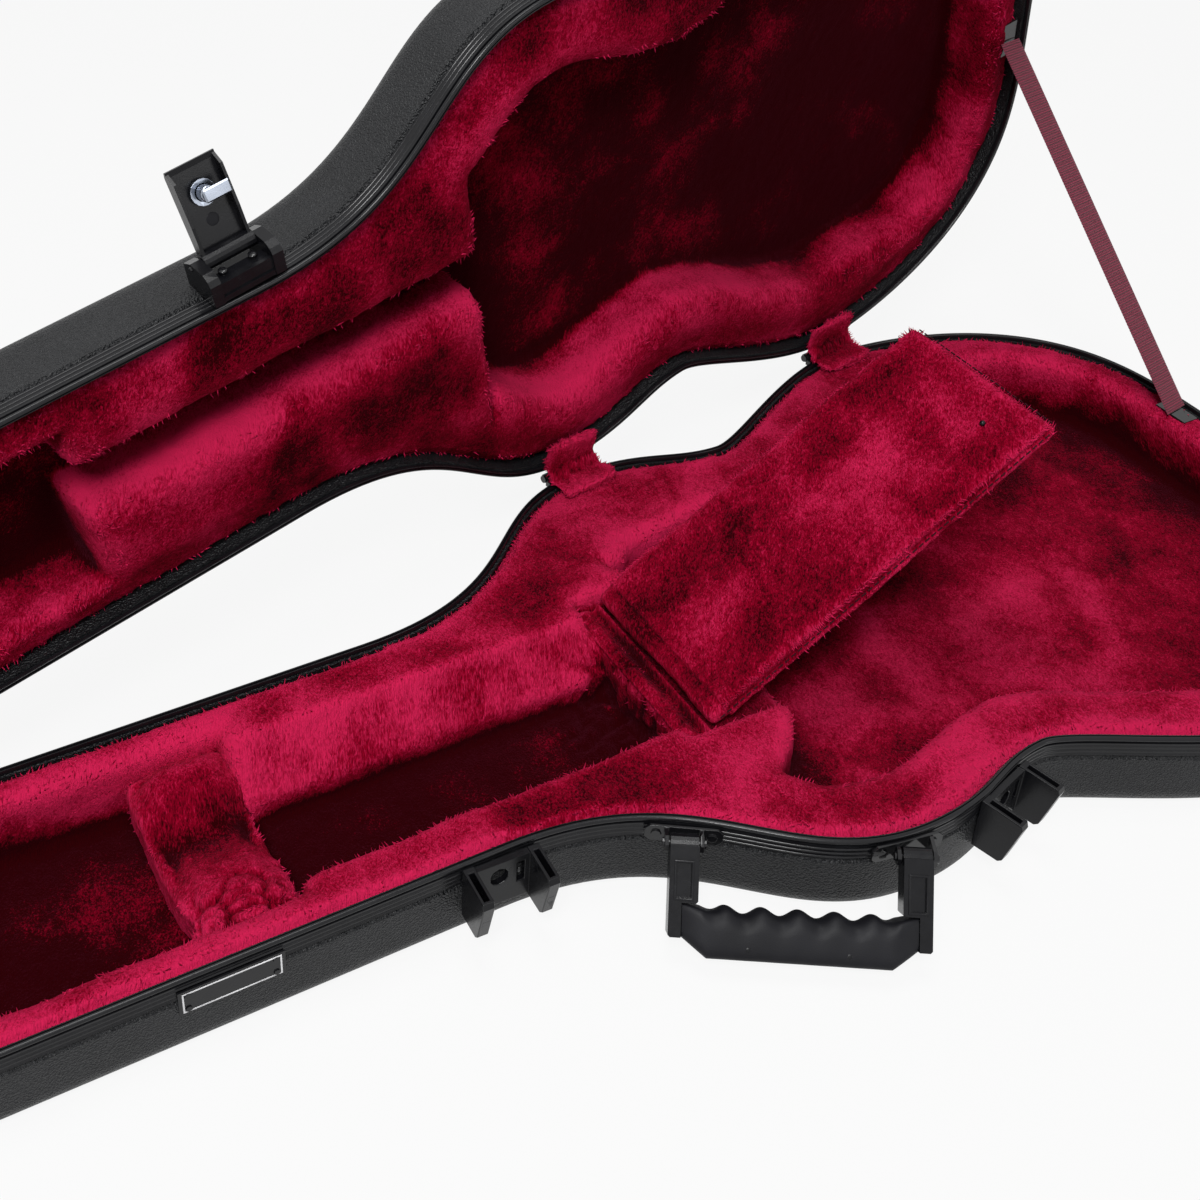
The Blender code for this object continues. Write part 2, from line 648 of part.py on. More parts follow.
def catch_mesh():
    """Catch: two hollow cheeks with a channel in the top, and a plate with the lock's hole."""
    top, foot = -CATCH_TOP, -CATCH_TOP - CATCH_TALL
    cheek = [(-SEAT, top), (-CATCH_OUT + 0.001, top - 0.001), (-CATCH_OUT, top - 0.004),
             (-CATCH_FOOT_OUT - 0.001, foot + 0.002), (-CATCH_FOOT_OUT + 0.001, foot), (-SEAT, foot)]
    plate = block(-CATCH_HALF + 0.001, CATCH_HALF - 0.001, -SEAT - CATCH_PLATE, -SEAT,
                  foot + 0.002, top - 0.001)
    cheeks = [extruded(cheek, side * CATCH_HALF, side * (CATCH_HALF - CHEEK)) for side in (-1, 1)]
    cuts = []
    for side in (-1, 1):
        mid = side * (CATCH_HALF - CHEEK / 2)
        cuts.append(block(mid - 0.0014, mid + 0.0014, -CATCH_OUT + 0.003, -SEAT - CATCH_PLATE,
                          foot + 0.012, top + 0.002))
    hole_z = BARREL_Z - LOCK_DOWN
    w, h = CATCH_HOLE_WIDE / 2, CATCH_HOLE_HIGH / 2
    bm = bmesh.new()
    bmesh.ops.create_cone(bm, cap_ends=True, segments=10, radius1=1, radius2=1, depth=0.02,
                          matrix=Matrix.Translation((-0.002, -0.003, hole_z))
                          @ Matrix.Diagonal((w, 1, h, 1)) @ AXES["Y"])
    cuts.append(as_object(bm, "hole"))
    cuts.append(block(0.0075, 0.0115, -0.01, 0.002, top - 0.018, top - 0.005))
    return build(plate, joined=cheeks, cut=cuts)


def bracket_mesh():
    """Lid bracket: a back plate, two cheeks that hold the pin, and a raised shelf with two rivets."""
    back = block(-BRACKET_HALF + 0.001, BRACKET_HALF - 0.001, -SEAT - 0.0030, -SEAT, 0.002,
                 BRACKET_TALL - 0.002)
    cheek = [(-SEAT, 0.0012), (-0.0125, 0.0012), (-CHEEK_OUT + 0.0022, 0.0030), (-CHEEK_OUT, 0.0068),
             (-CHEEK_OUT, BRACKET_TALL - 0.008), (-CHEEK_OUT + 0.004, BRACKET_TALL), (-SEAT, BRACKET_TALL)]
    joined = [extruded(cheek, side * BRACKET_HALF, side * (BRACKET_HALF - CHEEK)) for side in (-1, 1)]
    inside = BRACKET_HALF - CHEEK + 0.001
    shelf = [(-SEAT - 0.001, SHELF_Z0), (-SHELF_OUT, SHELF_Z0), (-SHELF_OUT, SHELF_Z0 + 0.002),
             (-SHELF_OUT + 0.0008, SHELF_Z0 + 0.003), (-SHELF_OUT + 0.0008, SHELF_Z1),
             (-SEAT - 0.001, SHELF_Z1 + 0.003)]
    joined.append(extruded(shelf, -inside, inside))
    for side in (-1, 1):
        rivet_at = (side * 0.0085, -SHELF_OUT, SHELF_Z0 + 0.0075)
        joined.append(rod(0.0022, 0.0024, rivet_at, "Y", sides=8, top=0.0022))
    bore = rod(LATCH_PIN_RADIUS + GAP, 0.06, (0, -BARREL_OUT, BARREL_Z), "X", sides=10)
    return build(back, joined=joined, cut=[bore])


def lever_mesh(locked):
    """Lever: a barrel on the pin and a channel with side flanges, drawn closed, hanging down."""
    face = -BARREL_OUT - 0.0045
    tip = BARREL_Z - LEVER_LONG
    half = LEVER_WIDE / 2
    inside = BRACKET_HALF - CHEEK - GAP
    barrel = rod(BARREL_RADIUS, 2 * inside, (0, -BARREL_OUT, BARREL_Z), "X", sides=14)
    web = [(face, BARREL_Z), (face, tip + 0.003), (face + 0.0015, tip), (face + 0.0030, tip),
           (face + LEVER_SKIN, tip + 0.003), (face + LEVER_SKIN, BARREL_Z - 0.002),
           (-BARREL_OUT, BARREL_Z)]
    joined = [extruded(web, -half, half)]
    flange = [(face + 0.0004, BARREL_Z - 0.001), (face + 0.0004, tip + 0.002), (face + 0.0018, tip + 0.0004),
              (face + LEVER_FLANGE, tip + 0.006), (face + LEVER_FLANGE, SHELF_Z0 - 0.003),
              (face + LEVER_FLANGE - 0.001, SHELF_Z1), (-BARREL_OUT + 0.002, BARREL_Z)]
    for side in (-1, 1):
        joined.append(extruded(flange, side * half, side * (half - 0.0016)))
    cuts = [rod(LATCH_PIN_RADIUS + GAP, 0.06, (0, -BARREL_OUT, BARREL_Z), "X", sides=10)]
    if locked:
        cuts.append(rod(LOCK_RADIUS + GAP, 0.02, (0, face, BARREL_Z - LOCK_DOWN), "Y", sides=16))
    else:
        hook = [(face + 0.001, tip + 0.020), (face + 0.0125, tip + 0.018), (face + 0.0125, tip + 0.014),
                (face + 0.001, tip + 0.010)]
        joined.append(extruded(hook, -0.004, 0.004))
    return build(barrel, joined=joined, cut=cuts)


catch_data = catch_mesh()
bracket_data = bracket_mesh()
levers = {False: lever_mesh(False), True: lever_mesh(True)}


def placed(name, source, matrix, look, angle=35):
    """A copy that shares the source's mesh shape, placed by its matrix."""
    obj = bpy.data.objects.new(name, source.data.copy())
    tools.objects.link(obj)
    obj.matrix_world = matrix
    return shade(finish(obj, name, look), angle)


lid_parts = [lid_shell, lid_rim, lid_lining]
pin_half = BRACKET_HALF + 0.0008
pin_head = 0.0008
for spot, frame in latch_frames.items():
    placed("catch_" + spot, catch_data, frame, MOULDED)
    lid_parts.append(placed("latch_bracket_" + spot, bracket_data, frame, MOULDED))
    at = Matrix.Translation((0, -BARREL_OUT, BARREL_Z))
    profile = [(0, pin_half), (LATCH_PIN_RADIUS * 0.7, pin_half), (LATCH_PIN_RADIUS, pin_half - pin_head),
               (LATCH_PIN_RADIUS, -pin_half + pin_head), (LATCH_PIN_RADIUS * 0.7, -pin_half),
               (0, -pin_half)]
    pin = turned(profile, "X", frame @ at, sides=10)
    lid_parts.append(shade(finish(pin, "latch_pin_" + spot, LACQUER)))
    # The lever turns on an empty at its pin, which is then swung open.
    pivot = bpy.data.objects.new("lever_pivot_" + spot, None)
    parts.objects.link(pivot)
    pivot.matrix_world = frame @ at
    lever = placed("latch_lever_" + spot, levers[spot == "neck"], Matrix(), MOULDED)
    lever.parent = pivot
    lever.matrix_parent_inverse = Matrix.Translation((0, BARREL_OUT, -BARREL_Z))
    lid_parts.append(pivot)
    if spot == "neck":
        lock_frame = Matrix.Translation((0, 0, -LOCK_DOWN))
        face = -0.0045
        nut_section = [(LOCK_RADIUS + GAP, 0.0022), (NUT_RADIUS, 0.0022), (NUT_RADIUS, 0),
                       (LOCK_RADIUS + GAP, 0), (LOCK_RADIUS + GAP, 0.0022)]
        nut = turned(nut_section, "Y", Matrix(), sides=16)
        nut = shade(finish(nut, "lock_nut", CHROME))
        barrel_profile = [(0, LOCK_LONG), (LOCK_RADIUS - 0.0006, LOCK_LONG), (LOCK_RADIUS, LOCK_LONG - 0.0006),
                          (LOCK_RADIUS, -GAP), (NUT_RADIUS, -GAP), (NUT_RADIUS - 0.0006, -0.0014), (0, -0.0014)]
        cylinder = shade(finish(turned(barrel_profile, "Y", Matrix(), sides=16), "lock_cylinder", CHROME))
        cam_data = build(block(-0.0035, CAM_LONG, 0, 0.0016, -0.0035, 0.0035), bevel=0.0012)
        cam = finish(cam_data, "lock_cam", CHROME)
        for piece, deep in ((nut, LEVER_SKIN + GAP), (cylinder, 0.0), (cam, LOCK_LONG + GAP)):
            piece.parent = pivot
            piece.matrix_parent_inverse = Matrix()
            piece.matrix_basis = lock_frame @ Matrix.Translation((0, face + deep, 0))
    pivot.matrix_world = frame @ at @ Matrix.Rotation(radians(-LEVER_OPEN), 4, "X")
for spare in (catch_data, bracket_data, *levers.values()):
    bpy.data.objects.remove(spare)

# Name plate: a thin bare plate with four rivets.
plate_frame = wall_frame(PLATE_X, PLATE_WIDE / 2) @ Matrix.Translation((0, -SEAT, -PLATE_DROP))
plate = block(-PLATE_WIDE / 2, PLATE_WIDE / 2, -PLATE_THICK, 0, -PLATE_HIGH / 2, PLATE_HIGH / 2, plate_frame)
rivets = []
for sx in (-1, 1):
    for sz in (-1, 1):
        at = (sx * (PLATE_WIDE / 2 - 0.0045), -PLATE_THICK, sz * (PLATE_HIGH / 2 - 0.0035))
        rivets.append(rod(0.0016, 0.0012, at, "Y", plate_frame, sides=8, top=0.0016))
finish(build(plate, joined=rivets), "name_plate", EDGE)


# Hinge line: the tangent of both bouts on the far side, moved outwards.
def hinge_frame():
    """X along the hinge line towards the tail, Y outwards, Z up, at the rim plane."""
    far = [p for p in OUTLINE if p.y > 0]
    upper = [p for p in far if SHOULDER_X < p.x < WAIST_X]
    lower_bout = [p for p in far if p.x > WAIST_X]
    normal = Vector((0, 1))
    for _ in range(8):
        a = max(upper, key=lambda p: p.dot(normal))
        b = max(lower_bout, key=lambda p: p.dot(normal))
        along = (b - a).normalized()
        normal = Vector((-along.y, along.x))
    start = a + normal * HINGE_OUT
    return Matrix(((along.x, normal.x, 0, start.x), (along.y, normal.y, 0, start.y),
                   (0, 0, 1, BASE_DEPTH), (0, 0, 0, 1)))


hinge_line = hinge_frame()
print("hinge line at", tuple(hinge_line.translation), "along", tuple(hinge_line.col[0].to_3d()))
knuckles = 5
knuckle = LEAF_WIDTH / knuckles


def leaf(name, frame, lid):
    """One hinge leaf with its knuckles. The lid's leaf is the other one turned over."""
    plate_y = -HINGE_OUT + GAP
    z0, z1 = (0.0034, LEAF_HEIGHT + 0.003)
    up = 1 if lid else -1
    low, high = sorted((up * z0, up * z1))
    base = block(-LEAF_WIDTH / 2, LEAF_WIDTH / 2, plate_y, plate_y + LEAF_THICK, low, high, frame)
    joined = []
    for i in range(knuckles):
        if (i % 2 == 1) != lid:
            continue
        x0 = -LEAF_WIDTH / 2 + i * knuckle + GAP / 2
        x1 = x0 + knuckle - GAP
        low, high = sorted((up * 0.0010, up * 0.0046))
        joined.append(block(x0 + 0.0001, x1 - 0.0001, plate_y + 0.0002, -0.0012, low, high, frame))
        joined.append(rod(KNUCKLE_RADIUS, x1 - x0, ((x0 + x1) / 2, 0, 0), "X", frame, sides=12))
    bore = rod(HINGE_PIN_RADIUS + GAP, LEAF_WIDTH * 2, (0, 0, 0), "X", frame, sides=10)
    return shade(finish(build(base, joined=joined, cut=[bore]), name, LACQUER))


hinge_frames = {}
for number, x in enumerate(HINGE_XS, 1):
    along = (x - hinge_line.translation.x) / hinge_line[0][0]
    frame = hinge_line @ Matrix.Translation((along, 0, 0))
    hinge_frames[number] = frame
    leaf("hinge_leaf_base_%d" % number, frame, False)
    lid_parts.append(leaf("hinge_leaf_lid_%d" % number, frame, True))
    half = LEAF_WIDTH / 2 + 0.0012
    profile = [(0, half), (KNUCKLE_RADIUS * 0.8, half), (KNUCKLE_RADIUS * 0.8, LEAF_WIDTH / 2 + GAP),
               (HINGE_PIN_RADIUS, LEAF_WIDTH / 2 + GAP), (HINGE_PIN_RADIUS, -LEAF_WIDTH / 2 - GAP),
               (KNUCKLE_RADIUS * 0.8, -LEAF_WIDTH / 2 - GAP), (KNUCKLE_RADIUS * 0.8, -half), (0, -half)]
    shade(finish(turned(profile, "X", frame, sides=10), "hinge_pin_%d" % number, LACQUER))

# Lid pivot: everything on the lid hangs on one empty on the hinge line, which is swung open.
lid_pivot = bpy.data.objects.new("lid_pivot", None)
parts.objects.link(lid_pivot)
lid_pivot.matrix_world = hinge_line

# Stay strap anchors: small steel tabs just inside the rim at the tail, one on each half.
def tail_x(y):
    """x of the rim's inner edge at the tail, at this y."""
    inner = [p for p in inset(OUTLINE, RIM_WIDTH) if p.x > LOWER_X and p.y >= 0]
    inner.sort(key=lambda p: p.y)
    a, b = next((p, q) for p, q in zip(inner, inner[1:]) if p.y <= y <= q.y)
    return a.x + (b.x - a.x) * (y - a.y) / (b.y - a.y)


def anchor(name, y, bed_z, up):
    x = tail_x(y) - 0.004
    low, high = sorted((bed_z + up * GAP, bed_z + up * (GAP + TAB_THICK)))
    tab = block(x - TAB_TALL, x, y - TAB_WIDE / 2, y + TAB_WIDE / 2, low, high)
    return finish(tab, name, LACQUER), Vector((x - TAB_TALL / 2, y, high if up > 0 else low))


base_tab, strap_low = anchor("strap_anchor_base", STRAP_Y, BASE_DEPTH - PAD_TOP, 1)
lid_tab, strap_high = anchor("strap_anchor_lid", STRAP_LID_Y, BASE_DEPTH + LID_PAD_TOP + 0.0028, -1)
lid_parts.append(lid_tab)
bpy.context.view_layer.update()
for piece in lid_parts:
    piece.parent = lid_pivot
    piece.matrix_parent_inverse = hinge_line.inverted()
swing = hinge_line @ Matrix.Rotation(radians(-LID_OPEN), 4, "X")
lid_pivot.matrix_world = swing
to_open = swing @ hinge_line.inverted()

# Stay strap: flat webbing pulled straight between the tabs.
high_end = to_open @ strap_high
run = high_end - strap_low
across = hinge_line.col[0].to_3d()
across = (across - across.project(run)).normalized()
face_normal = run.cross(across).normalized()
strap_frame = Matrix((across, face_normal, run.normalized())).transposed().to_4x4()
strap_frame.translation = strap_low
slack = 0.0017
strap = block(-STRAP_WIDE / 2, STRAP_WIDE / 2, -STRAP_THICK / 2, STRAP_THICK / 2, slack,
              run.length - slack, strap_frame)
finish(strap, "lid_stay_strap", WEBBING)
print("strap length", round(run.length, 4), "from", tuple(strap_low), "to", tuple(high_end))

# Hinge covers: a plush patch over each hinge, from the base's bed round the corner to the lid's.
for number, frame in hinge_frames.items():
    reach = HINGE_OUT + RIM_WIDTH + COVER_REACH
    lift = 0.0012
    lean = radians(LID_OPEN)
    flat = [(-reach, lift), (-HINGE_OUT - RIM_WIDTH, lift), (-HINGE_OUT - 0.002, lift + 0.0006)]
    # The lid's half is the base's half mirrored in the plane halfway between the two open rims.
    along = Vector((-cos(lean), sin(lean)))
    inner = Vector((-sin(lean), -cos(lean)))
    upright = [tuple(along * -y + inner * z) for y, z in reversed(flat)]
    corner = [(-0.0052, 0.0052)]
    centre = [Vector(p) for p in flat + corner + upright]
    edge = []
    for i, p in enumerate(centre):
        ahead = centre[min(i + 1, len(centre) - 1)] - centre[max(i - 1, 0)]
        edge.append(p + Vector((-ahead.y, ahead.x)).normalized() * COVER_THICK)
    outline = [tuple(p) for p in centre] + [tuple(p) for p in reversed(edge)]
    cover = extruded(outline, -COVER_WIDTH / 2, COVER_WIDTH / 2, frame)
    finish(cover, "hinge_cover_%d" % number, PLUSH)

# Accessory box lid: a padded board that turns on the edge of the divider.
flap_pivot = bpy.data.objects.new("flap_pivot", None)
parts.objects.link(flap_pivot)
flap_at = Matrix.Translation((FLAP_X, 0, BASE_DEPTH - FLAP_DROP))
flap = block(GAP, FLAP_LENGTH, FLAP_Y0, FLAP_Y1, -FLAP_THICK / 2, FLAP_THICK / 2)
soft = flap.modifiers.new("soft_edges", "BEVEL")
soft.width = 0.0042
soft.segments = 3
finish(flap, "compartment_flap", PLUSH)
flap.parent = flap_pivot
flap_pivot.matrix_world = flap_at @ Matrix.Rotation(radians(-FLAP_OPEN), 4, "Y")
# The hinge strip is glued on the shelf and comes up in a thin fold right below the flap's edge.
strip_foot = FLAP_DROP - SHELF_DROP + GAP
strip_top = strip_foot + FLAP_STRIP_THICK
fold = [(-0.0016, strip_top), (-0.00035, -0.0030), (-0.00025, -0.0008)]
section = [(-FLAP_STRIP_WIDTH, strip_foot), (-FLAP_STRIP_WIDTH, strip_top), *fold,
           *((-x, z) for x, z in reversed(fold)), (0.003, strip_top), (0.003, strip_foot)]
strip = flat_xz(section, FLAP_Y1 - FLAP_Y0, flap_at @ Matrix.Translation((0, (FLAP_Y0 + FLAP_Y1) / 2, 0)))
finish(strip, "flap_hinge_strip", PLUSH)

# Carrying handle: two lacquered brackets, two pins, a U frame and a rubber grip.
def handle_pivot(end):
    frame = wall_frame(HANDLE_XS[end], HANDLE_PLATE / 2)
    return frame @ Vector((0, -PIVOT_OUT[end], -PIVOT_DROP))


left, right = handle_pivot("neck"), handle_pivot("body")
run = right - left
span = run.length
ux = run.normalized()
uy = Vector((0, 0, 1)).cross(ux)
handle_frame = Matrix((ux, uy, Vector((0, 0, 1)))).transposed().to_4x4()
handle_frame.translation = left
print("handle pivot", tuple(left), "axis", tuple(ux), "span", round(span, 4))


def bracket(end, along):
    name = "handle_bracket_" + end
    frame = wall_frame(HANDLE_XS[end], HANDLE_PLATE / 2)
    top = -HANDLE_PLATE_DROP
    foot = top - HANDLE_PLATE_TALL
    thick = HANDLE_PLATE_THICK
    c = 0.0025
    rim_line = [(-HANDLE_PLATE / 2, foot + c), (-HANDLE_PLATE / 2, top - c), (-HANDLE_PLATE / 2 + c, top),
                (HANDLE_PLATE / 2 - c, top), (HANDLE_PLATE / 2, top - c), (HANDLE_PLATE / 2, foot + c),
                (HANDLE_PLATE / 2 - c, foot), (-HANDLE_PLATE / 2 + c, foot)]
    turn = Matrix(((0, 1, 0, 0), (1, 0, 0, -SEAT - thick / 2), (0, 0, 1, 0), (0, 0, 0, 1)))
    plate = extruded(rim_line, -thick / 2, thick / 2, frame @ turn)
    joined = []
    for side in (-1, 1):
        at = (side * (HANDLE_PLATE / 2 - 0.0055), -SEAT - thick, (top + foot) / 2)
        joined.append(rod(0.0026, 0.0018, at, "Y", frame, sides=8, top=0.0026))
        # Ears stand square to the pivot line and reach back into the plate.
        x0 = along + side * EAR_HALF
        to_wall = frame.inverted() @ handle_frame
        a, b = (to_wall @ Vector((x0 + side * EAR_THICK / 2, y, 0)) for y in (0, 0.01))
        back = 0.01 * (-SEAT - thick * 0.6 - a.y) / (b.y - a.y)
        ear = [(back, 0.0028), (0.0005, 0.0040), (-0.0036, 0.0020), (-0.0036, -0.0024),
               (0.0005, -0.0045), (back, -0.0060)]
        joined.append(extruded(ear, x0, x0 + side * EAR_THICK, handle_frame))
    bore = rod(HANDLE_PIN_RADIUS + GAP, 0.04, (along, 0, 0), "X", handle_frame, sides=10)
    shade(finish(build(plate, joined=joined, cut=[bore]), name, LACQUER))
    half = EAR_HALF + EAR_THICK + 0.0014
    shoulder = EAR_HALF + EAR_THICK + GAP
    profile = [(0, half), (0.0023, half - 0.0003), (0.0023, shoulder), (HANDLE_PIN_RADIUS, shoulder),
               (HANDLE_PIN_RADIUS, -shoulder), (0.0023, -shoulder), (0.0023, -half + 0.0003), (0, -half)]
    pin = turned(profile, "X", handle_frame @ Matrix.Translation((along, 0, 0)), sides=10)
    shade(finish(pin, name.replace("bracket", "pin"), LACQUER))


bracket("neck", 0.0)
bracket("body", span)

# The handle is drawn hanging straight down, in X along the pins, Z up, then leant outwards.
swing_out = bpy.data.objects.new("handle_pivot", None)
parts.objects.link(swing_out)
arm_half = ARM_WIDE / 2
arms = []
slots = []
for at, side in ((0.0, 1), (span, -1)):
    edge = at - side * arm_half
    eye = rod(EYE_RADIUS, ARM_WIDE - 0.0004, (at, 0, 0), "X", sides=16)
    strip = edge + side * ARM_STRIP
    wide = edge + side * ARM_WIDE
    form = [(edge, 0), (edge, -ARM_END + 0.001), (edge + side * 0.001, -ARM_END), (strip, -ARM_END),
            (strip, -ARM_STEP), (wide - side * 0.001, -ARM_STEP), (wide, -ARM_STEP + 0.001), (wide, 0)]
    arms.append((eye, flat_xz(form, ARM_THICK)))
    slots.append(block(at - 0.0034, at + 0.0034, -ARM_THICK, -ARM_THICK / 2 + 0.0014, -0.0245, -0.0085))
bar = block(-arm_half + 0.003, span + arm_half - 0.003, -BAR_THICK / 2, BAR_THICK / 2, -BAR_R1, -BAR_R0)
joined = [piece for group in arms for piece in group]
bores = [rod(HANDLE_PIN_RADIUS + GAP, 0.03, (at, 0, 0), "X", sides=10) for at in (0.0, span)]
frame_obj = build(bar, joined=joined, cut=bores + slots)
shade(finish(frame_obj, "handle_frame", MOULDED))
frame_obj.parent = swing_out

grip_x0 = -arm_half + ARM_STRIP + GAP
grip_x1 = span + arm_half - ARM_STRIP - GAP
stations = 26
around = 10
bm = bmesh.new()
rings = []
for i in range(stations):
    u = i / (stations - 1)
    x = grip_x0 + u * (grip_x1 - grip_x0)
    inward = min(x - grip_x0, grip_x1 - x)
    # Round inside corners rise towards the arms, and the outer corners are chamfered.
    corner = max(0.0, 1 - inward / 0.014)
    wave = cos(2 * pi * SCALLOPS * (x - grip_x0 - 0.012) / (grip_x1 - grip_x0 - 0.024) + pi)
    wave_on = min(1.0, max(0.0, (inward - 0.010) / 0.006))
    top = -GRIP_TOP + SCALLOP * wave * wave_on + (GRIP_TOP - ARM_STEP - GAP) * min(1.0, corner * 1.6)
    bottom = -HANDLE_REACH + (HANDLE_REACH - ARM_END) * min(1.0, max(0.0, 1 - inward / 0.012))
    thick = GRIP_THICK / 2 * (1 - 0.35 * corner ** 2)
    ring = []
    for k in range(around):
        turn = 2 * pi * (k + 0.5) / around
        sx, sz = cos(turn), sin(turn)
        soft_x = abs(sx) ** 0.7 * (1 if sx > 0 else -1)
        soft_z = abs(sz) ** 0.7 * (1 if sz > 0 else -1)
        ring.append(bm.verts.new((x, thick * soft_x, (top + bottom) / 2 + (top - bottom) / 2 * soft_z)))
    rings.append(ring)
for a, b in zip(rings, rings[1:]):
    for k in range(around):
        bm.faces.new((a[k - 1], a[k], b[k], b[k - 1]))
bm.faces.new(rings[0])
bm.faces.new(rings[-1])
grip = as_object(bm, "grip")
bar_hole = block(grip_x0 - 0.01, grip_x1 + 0.01, -BAR_THICK / 2 - GAP, BAR_THICK / 2 + GAP,
                 -BAR_R1 - GAP, -BAR_R0 + GAP)
grip = shade(finish(build(grip, cut=[bar_hole]), "handle_grip", RUBBER), 50)
grip.parent = swing_out
swing_out.matrix_world = handle_frame @ Matrix.Rotation(radians(-HANDLE_LEAN), 4, "X")

bpy.context.view_layer.update()
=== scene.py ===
# %% [markdown]
# # An open hard-shell case for an electric guitar
# The case is already modelled as rigid parts with real hinges. This lesson dresses them:
# smooth moulded shells, a ribbed edge profile, deep crimson plush, satin black fittings and
# a soft studio. Everything is in metres, in the frame of the rigid parts.

import json
from math import cos, pi, radians, sin
from random import Random

import bmesh
import bpy
from mathutils import Matrix, Vector, noise
from mathutils.bvhtree import BVHTree
from mathutils.geometry import interpolate_bezier
import numpy as np


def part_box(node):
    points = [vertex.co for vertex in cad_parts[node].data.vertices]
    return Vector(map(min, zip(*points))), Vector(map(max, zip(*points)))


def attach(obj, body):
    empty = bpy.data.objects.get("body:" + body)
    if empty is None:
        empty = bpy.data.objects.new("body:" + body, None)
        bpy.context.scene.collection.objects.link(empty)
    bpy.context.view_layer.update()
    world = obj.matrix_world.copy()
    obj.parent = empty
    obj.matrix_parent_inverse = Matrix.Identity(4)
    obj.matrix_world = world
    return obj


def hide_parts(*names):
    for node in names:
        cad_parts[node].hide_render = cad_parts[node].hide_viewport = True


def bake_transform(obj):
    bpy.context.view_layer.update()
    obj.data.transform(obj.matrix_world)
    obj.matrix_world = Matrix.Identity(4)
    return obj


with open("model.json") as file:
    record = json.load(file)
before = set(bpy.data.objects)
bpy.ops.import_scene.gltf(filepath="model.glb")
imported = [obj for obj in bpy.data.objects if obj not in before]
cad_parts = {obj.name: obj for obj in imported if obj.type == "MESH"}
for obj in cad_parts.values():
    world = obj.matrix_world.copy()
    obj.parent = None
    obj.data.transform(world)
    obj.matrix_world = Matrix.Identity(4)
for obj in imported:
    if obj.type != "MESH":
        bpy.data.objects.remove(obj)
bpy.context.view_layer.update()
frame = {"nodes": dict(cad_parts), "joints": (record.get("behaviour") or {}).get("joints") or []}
nodes = frame["nodes"]
print("rigid parts:", len(nodes))

# %% [markdown]
# The camera stands in front of the neck part and looks along the case towards its tail. A
# long lens with a sideways and downward shift gives the same crop as the photograph.

# %% Camera
CAMERA_AT = (-0.4858, -0.5440, 0.6757)
CAMERA_RIGHT = (0.88627, -0.46306, 0.01045)
CAMERA_UP = (0.24905, 0.49545, 0.83216)
CAMERA_BACK = (-0.39052, -0.73492, 0.55443)

cam_data = bpy.data.cameras.new("camera")
cam_data.lens = 50.42
cam_data.sensor_width = 36.0
cam_data.shift_x = 0.1251
cam_data.shift_y = -0.1792
camera = bpy.data.objects.new("camera", cam_data)
bpy.context.scene.collection.objects.link(camera)
camera.matrix_world = Matrix.Translation(CAMERA_AT) @ Matrix(
    (CAMERA_RIGHT, CAMERA_UP, CAMERA_BACK)).transposed().to_4x4()
bpy.context.scene.camera = camera
print("camera at", CAMERA_AT)

# %% [markdown]
# A cut-out on white is lit by large soft lamps, which draw broad highlights on black plastic.
# The key lamp stands above the near side, a weaker one hangs overhead, and a faint one lifts
# the near walls.

# %% Lamps
CASE_MIDDLE = (0, 0, 0.1)
scene = bpy.context.scene
scene.view_settings.view_transform = "Standard"


def link(obj):
    bpy.context.scene.collection.objects.link(obj)
    return obj


def softbox(name, where, size, watts):
    """A square area lamp at where, turned to the case."""
    data = bpy.data.lights.new(name, "AREA")
    data.shape = "SQUARE"
    data.size = size
    data.energy = watts
    lamp = link(bpy.data.objects.new(name, data))
    turn = (Vector(CASE_MIDDLE) - Vector(where)).to_track_quat("-Z", "Y")
    lamp.matrix_world = Matrix.Translation(where) @ turn.to_matrix().to_4x4()
    print(name, watts, "W")


softbox("key_softbox", (-1.1, -1.2, 2.1), 0.7, 46)
softbox("top_softbox", (-0.2, 0.1, 2.3), 0.9, 18)
softbox("near_softbox", (0.9, -2.0, 0.8), 0.8, 5)

# %% [markdown]
# The white of the picture is not light on the case. The world and the floor are white only
# where the camera, a reflection or a refraction looks. To everything else the world is a dim
# lamp, so colours come out about as they are written.

# %% A white world
WORLD_LIGHT = 0.09


def see_white(tree, plain, bright):
    """Mixes to a white emitter where the camera, a reflection or a refraction looks."""
    path = tree.nodes.new("ShaderNodeLightPath")
    most = path.outputs["Is Camera Ray"]
    for other in ("Is Glossy Ray", "Is Transmission Ray"):
        pick = tree.nodes.new("ShaderNodeMath")
        pick.operation = "MAXIMUM"
        tree.links.new(most, pick.inputs[0])
        tree.links.new(path.outputs[other], pick.inputs[1])
        most = pick.outputs[0]
    mix = tree.nodes.new("ShaderNodeMixShader")
    tree.links.new(most, mix.inputs[0])
    tree.links.new(plain, mix.inputs[1])
    tree.links.new(bright, mix.inputs[2])
    return mix.outputs[0]


world = bpy.data.worlds.new("studio")
scene.world = world
world.use_nodes = True
sky = world.node_tree
sky.nodes.clear()
dim = sky.nodes.new("ShaderNodeBackground")
dim.inputs["Color"].default_value = (1, 1, 1, 1)
dim.inputs["Strength"].default_value = WORLD_LIGHT
white = sky.nodes.new("ShaderNodeBackground")
white.inputs["Color"].default_value = (1, 1, 1, 1)
white.inputs["Strength"].default_value = 1.0
sky_out = sky.nodes.new("ShaderNodeOutputWorld")
sky.links.new(see_white(sky, dim.outputs[0], white.outputs[0]), sky_out.inputs[0])
print("world light", WORLD_LIGHT)

# %% [markdown]
# The floor is one flat grid just under the case. A share of it stays matt where the camera
# looks, and that share keeps the case's soft shadow.

